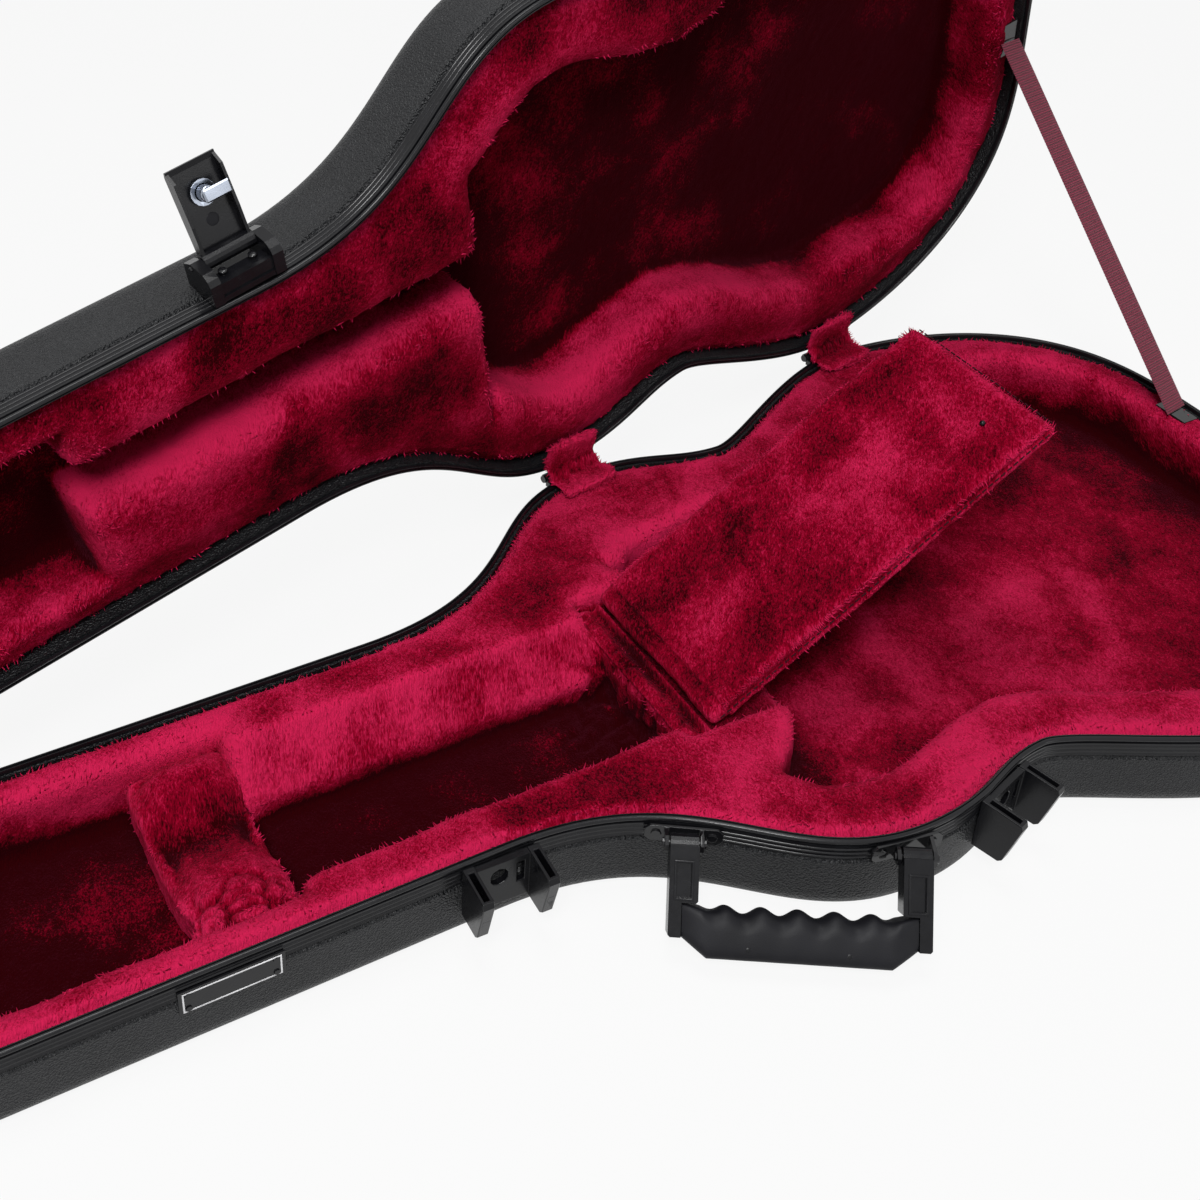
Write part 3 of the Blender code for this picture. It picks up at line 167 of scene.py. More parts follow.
# %% Pale floor
FLOOR_SIZE, FLOOR_DROP = 30.0, 0.0006
FLOOR_TONE, GLOW_SHARE = (0.6, 0.6, 0.6, 1), 0.90

bm = bmesh.new()
bmesh.ops.create_grid(bm, x_segments=2, y_segments=2, size=FLOOR_SIZE / 2)
bmesh.ops.translate(bm, verts=bm.verts, vec=(0, 0, -FLOOR_DROP))
floor_mesh = bpy.data.meshes.new("floor")
bm.to_mesh(floor_mesh)
bm.free()
floor = link(bpy.data.objects.new("floor", floor_mesh))
floor_look = bpy.data.materials.new("pale_floor")
floor_look.use_nodes = True
tree = floor_look.node_tree
tree.nodes.clear()
matt = tree.nodes.new("ShaderNodeBsdfDiffuse")
matt.inputs["Color"].default_value = FLOOR_TONE
glow = tree.nodes.new("ShaderNodeEmission")
glow.inputs["Strength"].default_value = 1.0
half_glow = tree.nodes.new("ShaderNodeMixShader")
half_glow.inputs[0].default_value = GLOW_SHARE
tree.links.new(matt.outputs[0], half_glow.inputs[1])
tree.links.new(glow.outputs[0], half_glow.inputs[2])
floor_out = tree.nodes.new("ShaderNodeOutputMaterial")
tree.links.new(see_white(tree, matt.outputs[0], half_glow.outputs[0]), floor_out.inputs[0])
floor_mesh.materials.append(floor_look)
print("floor", FLOOR_SIZE, "m")

# %% [markdown]
# Most finishes here are noise at two or three sizes, which drives colour, roughness and bump.
# A few short helpers keep each finish readable. All of them read Object coordinates, so a
# pattern stays on its piece when a joint moves.

# %% Helpers for finishes


class Finish:
    """A Principled material with helpers that add noise, ramps, sums and bump."""

    def __init__(self, name, color, roughness, metallic=0.0, **sockets):
        self.mat = bpy.data.materials.new(name)
        self.mat.use_nodes = True
        self.tree = self.mat.node_tree
        self.shader = self.tree.nodes["Principled BSDF"]
        self.shader.inputs["Base Color"].default_value = (*color, 1)
        self.shader.inputs["Roughness"].default_value = roughness
        self.shader.inputs["Metallic"].default_value = metallic
        for socket, value in sockets.items():
            self.shader.inputs[socket.replace("_", " ")].default_value = value
        self.where = self.tree.nodes.new("ShaderNodeTexCoord").outputs["Object"]

    def add(self, kind, **settings):
        node = self.tree.nodes.new("ShaderNode" + kind)
        for key, value in settings.items():
            setattr(node, key, value)
        return node

    def join(self, out, into):
        self.tree.links.new(out, into)

    def noise(self, scale, detail=2.0, rough=0.5, distortion=0.0, where=None):
        tex = self.add("TexNoise")
        tex.inputs["Scale"].default_value = scale
        tex.inputs["Detail"].default_value = detail
        tex.inputs["Roughness"].default_value = rough
        tex.inputs["Distortion"].default_value = distortion
        self.join(where or self.where, tex.inputs["Vector"])
        return tex.outputs["Fac"]

    def cells(self, scale):
        tex = self.add("TexVoronoi", feature="SMOOTH_F1")
        tex.inputs["Scale"].default_value = scale
        self.join(self.where, tex.inputs["Vector"])
        return tex.outputs["Distance"]

    def ramp(self, value, stops):
        node = self.add("ValToRGB")
        points = node.color_ramp.elements
        while len(points) < len(stops):
            points.new(0.5)
        for point, (at, color) in zip(points, stops):
            point.position = at
            point.color = (*color, 1)
        self.join(value, node.inputs[0])
        return node.outputs[0]

    def math(self, operation, a, b):
        node = self.add("Math", operation=operation)
        for value, socket in ((a, node.inputs[0]), (b, node.inputs[1])):
            if isinstance(value, (int, float)):
                socket.default_value = value
            else:
                self.join(value, socket)
        return node.outputs[0]

    def centred(self, value, weight):
        """A value round zero instead of 0.5, times its weight."""
        return self.math("MULTIPLY", self.math("SUBTRACT", value, 0.5), weight)

    def color(self, out):
        self.join(out, self.shader.inputs["Base Color"])

    def rough(self, value, low, high):
        node = self.add("MapRange")
        node.inputs["To Min"].default_value = low
        node.inputs["To Max"].default_value = high
        self.join(value, node.inputs["Value"])
        self.join(node.outputs[0], self.shader.inputs["Roughness"])

    def bump(self, height, distance, strength=1.0, after=None):
        node = self.add("Bump")
        node.inputs["Distance"].default_value = distance
        node.inputs["Strength"].default_value = strength
        self.join(height, node.inputs["Height"])
        if after is not None:
            self.join(after, node.inputs["Normal"])
        self.join(node.outputs[0], self.shader.inputs["Normal"])
        return node.outputs[0]


# %% [markdown]
# The shell is thermoformed plastic with a pebbled grain of about a millimetre. Modelled grain
# would take millions of faces, so rounded cells and a fine noise drive a bump instead.

# %% Pebbled shell
PEBBLES, FINE_GRAIN, WEAR = 1050.0, 2400.0, 35.0
SHELL_DARK, SHELL_PALE = (0.005, 0.0053, 0.0063), (0.010, 0.0105, 0.012)


def pebbled_shell():
    look = Finish("pebbled_black_shell", SHELL_PALE, 0.5, Specular_IOR_Level=0.27)
    pebbles = look.cells(PEBBLES)
    worn = look.noise(WEAR, 4.0)
    fine = look.noise(FINE_GRAIN, 2.0)
    look.color(look.ramp(worn, [(0.35, SHELL_DARK), (0.7, SHELL_PALE)]))
    look.rough(look.noise(700.0, 3.0), 0.30, 0.52)
    grain = look.math("ADD", pebbles, look.math("MULTIPLY", fine, 0.2))
    first = look.bump(grain, 0.0011, 1.0)
    look.bump(worn, 0.0003, 0.15, after=first)
    return look.mat


PEBBLED = pebbled_shell()
print(PEBBLED.name)

# %% [markdown]
# The edge profile is smoother than the shell and catches thin lines of light. The latches are
# moulded black, the hinge and handle brackets are lacquered steel, and the lock is chrome. They
# differ in colour, gloss and grain only, so one function makes them all.

# %% Smooth hard finishes


def satin_black(name, color, low, high, grain=900.0, depth=0.00005, metallic=0.0, **more):
    look = Finish(name, color, (low + high) / 2, metallic, **more)
    spots = look.noise(60.0, 5.0)
    tint = tuple(c * 1.7 + 0.002 for c in color)
    look.color(look.ramp(spots, [(0.3, color), (0.75, tint)]))
    look.rough(look.noise(240.0, 4.0), low, high)
    look.bump(look.noise(grain, 3.0), depth, 0.6)
    return look.mat


EDGE = satin_black("satin_edge_profile", (0.004, 0.004, 0.005), 0.14, 0.28,
                   Specular_IOR_Level=0.28)
MOULDED = satin_black("moulded_black_plastic", (0.0030, 0.0030, 0.0040), 0.18, 0.32,
                      1500.0, 0.00006, Specular_IOR_Level=0.22)
LACQUER = satin_black("black_lacquered_steel", (0.005, 0.005, 0.006), 0.08, 0.22, 500.0, 0.00003,
                      Specular_IOR_Level=0.25, Coat_Weight=0.3, Coat_Roughness=0.06)
RUBBER = satin_black("soft_grip_rubber", (0.0045, 0.0045, 0.0060), 0.42, 0.58, 1900.0, 0.0001,
                     Specular_IOR_Level=0.17)
CHROME = satin_black("worn_chrome", (0.22, 0.24, 0.28), 0.14, 0.30, 700.0, 0.00002, 1.0)
BORDER = satin_black("pale_border_line", (0.62, 0.62, 0.63), 0.35, 0.5)
THREAD = satin_black("dark_seam_thread", (0.022, 0.0008, 0.004), 0.6, 0.8,
                     Specular_IOR_Level=0.1)
print(EDGE.name, MOULDED.name, LACQUER.name, RUBBER.name, CHROME.name)

# %% [markdown]
# Crushed plush is a dense pile a few millimetres long. Its tips catch the light and the gaps
# between the locks stay dark, and where a hand has pressed it, whole patches lean another way
# and turn lighter or darker. Hair on every surface would be too heavy to export, so the colour
# follows a combed noise for the pile, which paints highlight on the tips and shade in the gaps,
# slow noises for the patches, and three numbers that each cushion stores on its vertices. Two
# of them paint light on crests and shade in valleys, and the third paints shade on tray floors
# and light on walls.

# %% Plush finish
PILE_LEAN, PILE_COMB = (0.75, 0.0, -0.35), (1.0, 4.2, 1.0)
STROKES, LOCKS, PATCHES, SLOW = 1250.0, 330.0, 19.0, 7.0
STROKE_SHARE, LOCK_SHARE = 0.7, 0.3
PILE_WEIGHT, PATCH_WEIGHT, SLOW_WEIGHT = 1.15, 1.00, 0.60
# These weights set how much the painted light on crests and walls, and the painted shade in
# valleys and on tray floors, move the plush colour.
PAINTED_LIGHT_WEIGHTS = (("lift", 0.40), ("broad_crest_painted_light", 0.45), ("painted_tray_light_shade", 0.62))
MIDDLE_TONE = 0.455
# The dark end of the ramp is partly the cloth's random tone and partly painted shade, and the
# pale end partly random tone and partly painted highlight.
DARK_TONE_AND_SHADE, MIDDLE, PALE_TONE_AND_LIGHT = (0.026, 0.0001, 0.0012), (0.27, 0.0006, 0.016), (0.64, 0.016, 0.086)


def plush(name):
    look = Finish(name, MIDDLE, 0.85, Sheen_Weight=0.07, Sheen_Roughness=0.35,
                  Sheen_Tint=(1.0, 0.15, 0.30, 1), Specular_IOR_Level=0.02)
    combed = look.add("Mapping", vector_type="TEXTURE")
    combed.inputs["Rotation"].default_value = PILE_LEAN
    combed.inputs["Scale"].default_value = PILE_COMB
    look.join(look.where, combed.inputs["Vector"])
    strokes = look.noise(STROKES, 2.0, 0.65, 0.8, where=combed.outputs[0])
    locks = look.noise(LOCKS, 1.0, 0.5, 1.6, where=combed.outputs[0])
    patches = look.noise(PATCHES, 2.4, 0.5, 0.3)
    slow = look.noise(SLOW, 1.0)
    pile = look.math("ADD", look.math("MULTIPLY", strokes, STROKE_SHARE),
                     look.math("MULTIPLY", locks, LOCK_SHARE))
    # The pile noise also paints highlight on the tips of the locks and shade in the gaps between
    # them.
    shaded = look.centred(pile, PILE_WEIGHT)
    for part, weight in ((patches, PATCH_WEIGHT), (slow, SLOW_WEIGHT)):
        shaded = look.math("ADD", shaded, look.centred(part, weight))
    # Painted light and shade from the numbers that each cushion stores.
    for attribute, weight in PAINTED_LIGHT_WEIGHTS:
        part = look.add("Attribute", attribute_name=attribute).outputs["Fac"]
        shaded = look.math("ADD", shaded, look.centred(part, weight))
    shaded = look.math("ADD", shaded, MIDDLE_TONE)
    look.color(look.ramp(shaded, [(0.22, DARK_TONE_AND_SHADE), (0.49, MIDDLE), (0.76, PALE_TONE_AND_LIGHT)]))
    look.bump(pile, 0.0020, 0.9)
    return look.mat


PLUSH = plush("crimson_plush")
print(PLUSH.name)

# %% [markdown]
# The stay strap is a flat burgundy webbing with ribs across it. Its ribs are modelled later, and
# fine bands across the strap colour the threads between them.

# %% Webbing finish
THREADS = 260.0


def webbing():
    look = Finish("burgundy_webbing", (0.12, 0.004, 0.02), 0.7, Sheen_Weight=0.2)
    threads = look.add("TexWave", wave_type="BANDS", bands_direction="Z")
    threads.inputs["Scale"].default_value = THREADS
    threads.inputs["Distortion"].default_value = 0.6
    look.join(look.where, threads.inputs["Vector"])
    bands = [(0.1, (0.07, 0.002, 0.012)), (0.9, (0.22, 0.008, 0.04))]
    look.color(look.ramp(threads.outputs["Fac"], bands))
    look.bump(threads.outputs["Fac"], 0.0004)
    return look.mat


WEBBING = webbing()
print(WEBBING.name)

# %% [markdown]
# Each rigid part that keeps its own shape gets the finish of the real piece. The fittings listed
# in SOFTEN also have their triangles welded and their edges softened, so that moulded edges
# catch a thin line of light. Modifiers do this, because the rigid meshes themselves stay as they
# are.

# %% Dress the rigid parts that stay
FINISH_OF = {"catch_": MOULDED, "latch_bracket": MOULDED, "latch_lever": MOULDED,
             "latch_pin": LACQUER, "lock_": CHROME, "name_plate": EDGE, "hinge_leaf": LACQUER,
             "hinge_pin": LACQUER, "strap_anchor": LACQUER, "handle_bracket": LACQUER,
             "handle_pin": LACQUER, "handle_frame": MOULDED, "handle_grip": RUBBER,
             "lid_stay_strap": WEBBING}
SOFTEN = {"catch_": 0.0010, "latch_bracket": 0.0013, "latch_lever": 0.0005,
          "handle_frame": 0.0008, "handle_bracket": 0.0004, "lock_": 0.0002,
          "hinge_leaf": 0.0003, "name_plate": 0.0002}
SHARPEST_KEPT, ROUND_STEPS = 38, 3


def soften(obj, width):
    """Welds the triangles and rounds the edges between faces that meet at an angle."""
    weld = obj.modifiers.new("weld", "WELD")
    weld.merge_threshold = 0.00001
    edge = obj.modifiers.new("round_edges", "BEVEL")
    edge.width = width
    edge.segments = ROUND_STEPS
    edge.limit_method = "ANGLE"
    edge.angle_limit = radians(SHARPEST_KEPT)
    edge.harden_normals = True


for name, part in nodes.items():
    look = next((mat for start, mat in FINISH_OF.items() if name.startswith(start)), PLUSH)
    part.data.materials.clear()
    part.data.materials.append(look)
    width = next((w for start, w in SOFTEN.items() if name.startswith(start)), None)
    if width:
        soften(part, width)
print("dressed:", len(nodes))

# %% [markdown]
# Both shells follow one outline. The rigid model has a coarse one, on which long bends show
# flats, so the same curves are drawn again here in short steps. One half is drawn and the other
# mirrors it.

# %% Outline of the rims
FAIR = 5


def bend(p0, heading0, out, p1, heading1, into, steps):
    """Points on a Bezier curve, without its last one. Headings are in degrees."""
    a = Vector((cos(radians(heading0)), sin(radians(heading0)))) * out
    b = Vector((cos(radians(heading1)), sin(radians(heading1)))) * into
    p0, p1 = Vector(p0), Vector(p1)
    points = interpolate_bezier(p0.to_3d(), (p0 + a).to_3d(), (p1 - b).to_3d(), p1.to_3d(),
                                steps + 1)
    return [point.to_2d() for point in points[:-1]]


def half_outline():
    head, corner, shoulder = (-0.660, 0.0), Vector((-0.615, 0.017)), (-0.206, 0.080)
    upper, waist, lower = (-0.0125, 0.162), (0.0728, 0.1454), (0.211, 0.2004)
    tail_corner, tail = (0.357, 0.142), (0.3825, 0.0)
    corner_radius, neck_side, tail_heading = 0.045, (-0.455, 0.080), -51.7
    half = [Vector(head)]
    for step in range(3 * FAIR + 1):
        turn = pi - step * pi / 6 / FAIR
        half.append(corner + corner_radius * Vector((cos(turn), sin(turn))))
    half.append(Vector(neck_side))
    half += bend(shoulder, 0, 0.113, upper, 0, 0.085, 8 * FAIR)
    half += bend(upper, 0, 0.043, waist, 0, 0.030, 4 * FAIR)
    half += bend(waist, 0, 0.019, lower, 0, 0.047, 7 * FAIR)
    half += bend(lower, 0, 0.055, tail_corner, tail_heading, 0.053, 5 * FAIR)
    half += bend(tail_corner, tail_heading, 0.053, tail, -90, 0.052, 4 * FAIR)
    return half + [Vector(tail)]


HALF = half_outline()
OUTLINE = [Vector((p.x, -p.y)) for p in HALF] + list(reversed(HALF[1:-1]))
print("outline points:", len(OUTLINE))

# %% [markdown]
# A shell or an edge profile is one section carried round the outline. It starts as a ring of
# points on the outline, moved inwards, and is extruded from station to station of the section.

# %% Sweeps round the outline


def inset(points, width):
    """Closed points moved inwards along their mitres."""
    moved = []
    for i, here in enumerate(points):
        before = (here - points[i - 1]).normalized()
        after = (points[(i + 1) % len(points)] - here).normalized()
        mitre = Vector((-before.y - after.y, before.x + after.x)).normalized()
        moved.append(here + mitre * width / max(mitre.dot(Vector((-after.y, after.x))), 0.5))
    return moved


def loft(rings, closed):
    """A bmesh extruded through rings of equal count, and the last ring's edges."""
    bm = bmesh.new()
    ring = [bm.verts.new(p) for p in rings[0]]
    edges = [bm.edges.new((a, b)) for a, b in zip(ring, ring[1:] + ring[:1])]
    first = list(edges)
    for places in rings[1:]:
        grown = bmesh.ops.extrude_edge_only(bm, edges=edges)["geom"]
        fresh = [v for v in grown if isinstance(v, bmesh.types.BMVert)]
        known = set(fresh)
        edges = [e for e in grown if isinstance(e, bmesh.types.BMEdge) and set(e.verts) <= known]
        for v, place in zip(fresh, places):
            v.co = place
    if closed:
        bmesh.ops.bridge_loops(bm, edges=first + edges)
    return bm, edges


def sweep(stations, closed):
    """A loft round the outline through (inset, z) stations."""
    return loft([[(*p, z) for p in inset(OUTLINE, depth)] for depth, z in stations], closed)


def new_piece(bm, name, look, crease=35):
    """Keeps a bmesh as a piece of the scene, smooth up to the crease angle."""
    mesh = bpy.data.meshes.new(name)
    bm.to_mesh(mesh)
    bm.free()
    for face in mesh.polygons:
        face.use_smooth = True
    if crease:
        mesh.set_sharp_from_angle(angle=radians(crease))
    mesh.materials.append(look)
    return link(bpy.data.objects.new(name, mesh))


# %% [markdown]
# The lid is made closed, over the base, and then turned to where the rigid lid stands open.

# %% Where the open lid stands
LID_OPEN = 86.2
hinge = next(j for j in frame["joints"] if j["name"] == "lid_hinge")
HINGE_AT = Vector(hinge["pos_m"])
HINGE_AXIS = Vector(hinge["axis"]).normalized()
TO_OPEN = (Matrix.Translation(HINGE_AT) @ Matrix.Rotation(radians(-LID_OPEN), 4, HINGE_AXIS)
           @ Matrix.Translation(-HINGE_AT))
FROM_OPEN = TO_OPEN.inverted()
print("lid open by", LID_OPEN, "degrees")

# %% [markdown]
# The edge profile is an extruded strip, bent round each half. It has a round glossy bead at the
# rim, a groove in it, and three fine ribs on its skirt, which draw thin lines of light round the
# case. One sweep gives all of these.

# %% Edge profiles
BASE_DEPTH, LID_DEPTH = 0.052, 0.0565
SKIRT = 0.0127
RIB_DEPTHS = (0.0112, 0.0085, 0.0058)
RIB_SECTION = [(0.0005, 0.0006), (0.0001, 0.0003), (0.0, 0.0), (0.0001, -0.0003),
               (0.0005, -0.0006)]
BEAD, BEAD_MIDDLE, BEAD_STEPS = 0.0013, 0.0014, 6


def edge_profile(name, node, body, side, place):
    """side is -1 for the base, whose skirt hangs down, and 1 for the lid. Each pair of the
    section is how far it lies in from the outline, and how far from the rim."""
    stations = [(0.0017, SKIRT), (0.0006, SKIRT), (0.0004, SKIRT - 0.0004)]
    for depth in RIB_DEPTHS:
        stations += [(inward, depth + off) for inward, off in RIB_SECTION]
    stations += [(0.0005, 0.0038), (0.0016, 0.0034), (0.0016, 0.0027)]
    for step in range(BEAD_STEPS + 1):
        turn = -pi / 3 + step * (pi / 2 + pi / 3) / BEAD_STEPS
        stations.append((BEAD_MIDDLE - BEAD * cos(turn), BEAD_MIDDLE - BEAD * sin(turn)))
    stations += [(0.0020, 0.0001), (0.0021, 0.0011), (0.0026, 0.0011), (0.0027, 0.0001),
                 (0.0033, 0.0001), (0.0035, 0.0004), (0.0035, 0.0030), (0.0017, 0.0030)]
    bm, _ = sweep([(depth, BASE_DEPTH + side * z) for depth, z in stations], True)
    bmesh.ops.recalc_face_normals(bm, faces=bm.faces)
    bmesh.ops.transform(bm, matrix=place, verts=bm.verts)
    piece = new_piece(bm, name, EDGE)
    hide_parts(node)
    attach(piece, body)
    print(name, "faces", len(piece.data.polygons))


edge_profile("base_edge_profile", "base_rim", "base", -1, Matrix())
edge_profile("lid_edge_profile", "lid_rim", "lid", 1, TO_OPEN)

# %% [markdown]
# Each shell is one sheet of plastic, drawn over a mould. It has a joggle that lets the edge
# profile sit flush, a wide round edge and a flat bottom. The outer skin is swept first and then
# given its thickness, as in the real process.

# %% Moulded shells
EDGE_RADIUS, WALL = 0.014, 0.003
JOGGLE, FLUSH = 0.0020, 0.0003


def moulded_shell(name, node, body, side, depth, place):
    stations = [(JOGGLE, 0.0033), (JOGGLE, 0.0133), (FLUSH, 0.0153)]
    for step in range(9):
        turn = step * pi / 16
        stations.append((FLUSH + EDGE_RADIUS * (1 - cos(turn)),
                         depth - EDGE_RADIUS * (1 - sin(turn))))
    bm, last = sweep([(i, BASE_DEPTH + side * z) for i, z in stations], False)
    bmesh.ops.contextual_create(bm, geom=last)
    bottom = max(bm.faces, key=lambda f: f.calc_area())
    bm.normal_update()
    if bottom.normal.z * side < 0:
        bmesh.ops.reverse_faces(bm, faces=bm.faces)
    bmesh.ops.solidify(bm, geom=bm.faces[:], thickness=WALL)
    bmesh.ops.recalc_face_normals(bm, faces=bm.faces)
    bmesh.ops.transform(bm, matrix=place, verts=bm.verts)
    piece = new_piece(bm, name, PEBBLED)
    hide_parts(node)
    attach(piece, body)
    corners = (piece.bound_box[0], piece.bound_box[6])
    print(name, [round(v, 4) for corner in corners for v in corner])


moulded_shell("base_moulded_shell", "base_shell", "base", -1, BASE_DEPTH, Matrix())
moulded_shell("lid_moulded_shell", "lid_shell", "lid", 1, LID_DEPTH, TO_OPEN)

# %% [markdown]
# The finish of the plush paints shade into valleys and light onto crests. So each cushion
# measures how far every point stands above its smoothed surroundings, at a small and at a broad
# scale, and keeps both numbers on its vertices.

# %% Crests and valleys of a cushion, for painted light and shade
PAINTED_CREST_SCALES = (("lift", 14, 0.0016), ("broad_crest_painted_light", 170, 0.0085))


def store(obj, name, values):
    """Stores one number for each vertex under a name that the materials read."""
    kept = obj.data.attributes.new(name, "FLOAT", "POINT")
    kept.data.foreach_set("value", np.asarray(values, dtype=np.float32))


def crest_attributes(obj):
    """Stores a fine and a broad crest measure, which paint light on crests and shade in valleys:
    0.5 is flat, 1 a crest and 0 a valley.
    """
    mesh = obj.data
    count = len(mesh.vertices)
    place = np.empty(count * 3)
    mesh.vertices.foreach_get("co", place)
    place = place.reshape(-1, 3)
    normal = np.empty(count * 3)
    mesh.vertices.foreach_get("normal", normal)
    ends = np.empty(len(mesh.edges) * 2, dtype=np.int64)
    mesh.edges.foreach_get("vertices", ends)
    a, b = ends.reshape(-1, 2).T
    neighbours = np.bincount(a, minlength=count) + np.bincount(b, minlength=count)
    smooth = place.copy()
    done = 0
    for name, rounds, reach in PAINTED_CREST_SCALES:
        for _ in range(done, rounds):
            total = np.empty_like(smooth)
            for axis in range(3):
                total[:, axis] = (np.bincount(a, weights=smooth[b, axis], minlength=count)
                                  + np.bincount(b, weights=smooth[a, axis], minlength=count))
            smooth = total / neighbours[:, None]
        done = rounds
        above = ((place - smooth) * normal.reshape(-1, 3)).sum(axis=1)
        tall = np.where(above > 0, 0.5 * above, above) / (2 * reach)
        store(obj, name, np.clip(0.5 + tall, 0, 1))
        print(obj.name, "faces", len(mesh.polygons), name, round(float(above.min()), 4),
              round(float(above.max()), 4))


# %% [markdown]
# The plush lies over foam, so every corner is rounder than the foam's, and the pile makes the
# surface uneven. It could be draped as cloth, but glued linings keep the form of what they
# cover. So each cushion starts from a copy of its rigid form. A voxel remesh gives even faces,
# smoothing rounds them, and noise along the normals raises the locks of the pile.

# %% Cushions of plush
BACK_REACH, FACES_BACK = 0.006, 0.3
SLOW_WAVES, SLOW_SWELL = 28.0, 0.8
LOCK_WAVES, LOCK_SWELL, LOCK_SHIFT = 190.0, 0.35, Vector((3.1, 0, 0))


def merged_copy(name):
    bm = bmesh.new()
    bm.from_mesh(nodes[name].data)
    bmesh.ops.remove_doubles(bm, verts=bm.verts, dist=0.00001)
    bmesh.ops.recalc_face_normals(bm, faces=bm.faces)
    return bm


def applied(obj):
    """Replaces an object's mesh with the result of its modifiers."""
    bpy.context.view_layer.update()
    graph = bpy.context.evaluated_depsgraph_get()
    mesh = bpy.data.meshes.new_from_object(obj.evaluated_get(graph))
    obj.modifiers.clear()
    obj.data = mesh


def cushion(source, name, body, voxel=0.0026, rounds=4, swell=0.0010, pile=0.0016,
            press=None, painted_tray_light_shade=None, backing=None):
    """A plush copy of a rigid form: remeshed, rounded, and raised into locks. press tells how
    far a point moves along its normal. The next argument gives each point painted light or shade:
    0 is painted shade and 1 painted light. backing is the shell it is glued to and doesn't swell
    into."""
    obj = new_piece(merged_copy(source), name, PLUSH)
    remesh = obj.modifiers.new("even_faces", "REMESH")
    remesh.mode = "VOXEL"
    remesh.voxel_size = voxel
    applied(obj)
    bm = bmesh.new()
    bm.from_mesh(obj.data)
    for _ in range(rounds):
        bmesh.ops.smooth_vert(bm, verts=bm.verts, factor=0.5, use_axis_x=True, use_axis_y=True,
                              use_axis_z=True)
    bm.normal_update()
    wall = BVHTree.FromBMesh(merged_copy(backing)) if backing else None
    moves = []
    for v in bm.verts:
        if wall:
            near, _, _, distance = wall.find_nearest(v.co)
            if distance < BACK_REACH and (near - v.co).dot(v.normal) > FACES_BACK * distance:
                moves.append(Vector())
                continue
        slow = noise.noise(v.co * SLOW_WAVES)
        lock = noise.noise(v.co * LOCK_WAVES + LOCK_SHIFT)
        more = press(v.co, v.normal) if press else 0.0
        moves.append(v.normal * (swell + SLOW_SWELL * pile * slow + LOCK_SWELL * pile * lock
                                 + more))
    for v, move in zip(bm.verts, moves):
        v.co += move
    bm.to_mesh(obj.data)
    bm.free()
    for face in obj.data.polygons:
        face.use_smooth = True
    obj.data.materials.clear()
    obj.data.materials.append(PLUSH)
    crest_attributes(obj)
    # Painted shade on tray floors and painted light on walls, one number for each vertex.
    store(obj, "painted_tray_light_shade", [painted_tray_light_shade(v.co, v.normal) if painted_tray_light_shade else 0.5 for v in obj.data.vertices])
    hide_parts(source)
    if body:
        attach(obj, body)
    return obj


# %% [markdown]
# Where the backing bends over a crest, the pile opens and single locks stand out against the
# light. Each lock is a small closed cone that lies along the cloth. Neighbours lean the same
# way, as brushed pile does, and the seed gives the same locks in every run.

# %% Locks of pile
BATCH = 150
BRUSH_SEED = 7
BRUSH_WAVES, FRAY = 40.0, 0.35
STAND, LEAN, LEAST_STAND, RAISE = 0.75, 2.2, 0.15, 0.6
SHORTEST, LONGEST = 0.55, 1.15
LOCK_ROOT, LOCK_WIDE, LOCK_TIP = 0.0008, 0.0006, 0.12
# Every lock carries fixed values of painted light, as if it stood on a bright crest.
LOCK_PAINTED_LIGHT = (("lift", 1.0), ("broad_crest_painted_light", 0.85), ("painted_tray_light_shade", 0.62))
noise.seed_set(BRUSH_SEED)


def fringe(base, name, body, share, length, least, seed=1, where=None):
    """Locks of pile on the crests of a cushion. share is how many of the points whose fine crest
    measure is over least get one. where, if any, picks the points."""
    lift = base.data.attributes["lift"].data
    chance = Random(seed)
    whole, batch = bmesh.new(), bmesh.new()
    carry = bpy.data.meshes.new("batch")
    picked = [v for v in base.data.vertices if lift[v.index].value > least
              and (where is None or where(v.co)) and chance.random() < share]
    for number, v in enumerate(picked):
        frayed = Vector([chance.uniform(-1, 1) for _ in range(3)])
        brushed = noise.noise_vector(v.co * BRUSH_WAVES) + FRAY * frayed
        axis = (STAND * v.normal + LEAN * brushed).normalized()
        if axis.dot(v.normal) < LEAST_STAND:
            axis = (axis + RAISE * v.normal).normalized()
        tall = length * chance.uniform(SHORTEST, LONGEST)
        turn = axis.to_track_quat("Z", "Y").to_matrix().to_4x4()
        middle = v.co + axis * (tall / 2 - LOCK_ROOT)
        bmesh.ops.create_cone(batch, cap_ends=True, segments=3, radius1=LOCK_WIDE,
                              radius2=LOCK_WIDE * LOCK_TIP, depth=tall,
                              matrix=Matrix.Translation(middle) @ turn)
        if number % BATCH == BATCH - 1 or number == len(picked) - 1:
            batch.to_mesh(carry)
            whole.from_mesh(carry)
            batch.clear()
    batch.free()
    print(name, "locks", len(picked))
    piece = new_piece(whole, name, PLUSH, crease=0)
    # Painted light on the locks.
    for attribute, height in LOCK_PAINTED_LIGHT:
        store(piece, attribute, np.full(len(piece.data.vertices), height))
    if body:
        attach(piece, body)
    return piece


# %% [markdown]
# The box lid is a board between two cloths, sewn together round its free sides. The seam draws
# the cloths in, so a groove runs along those sides.

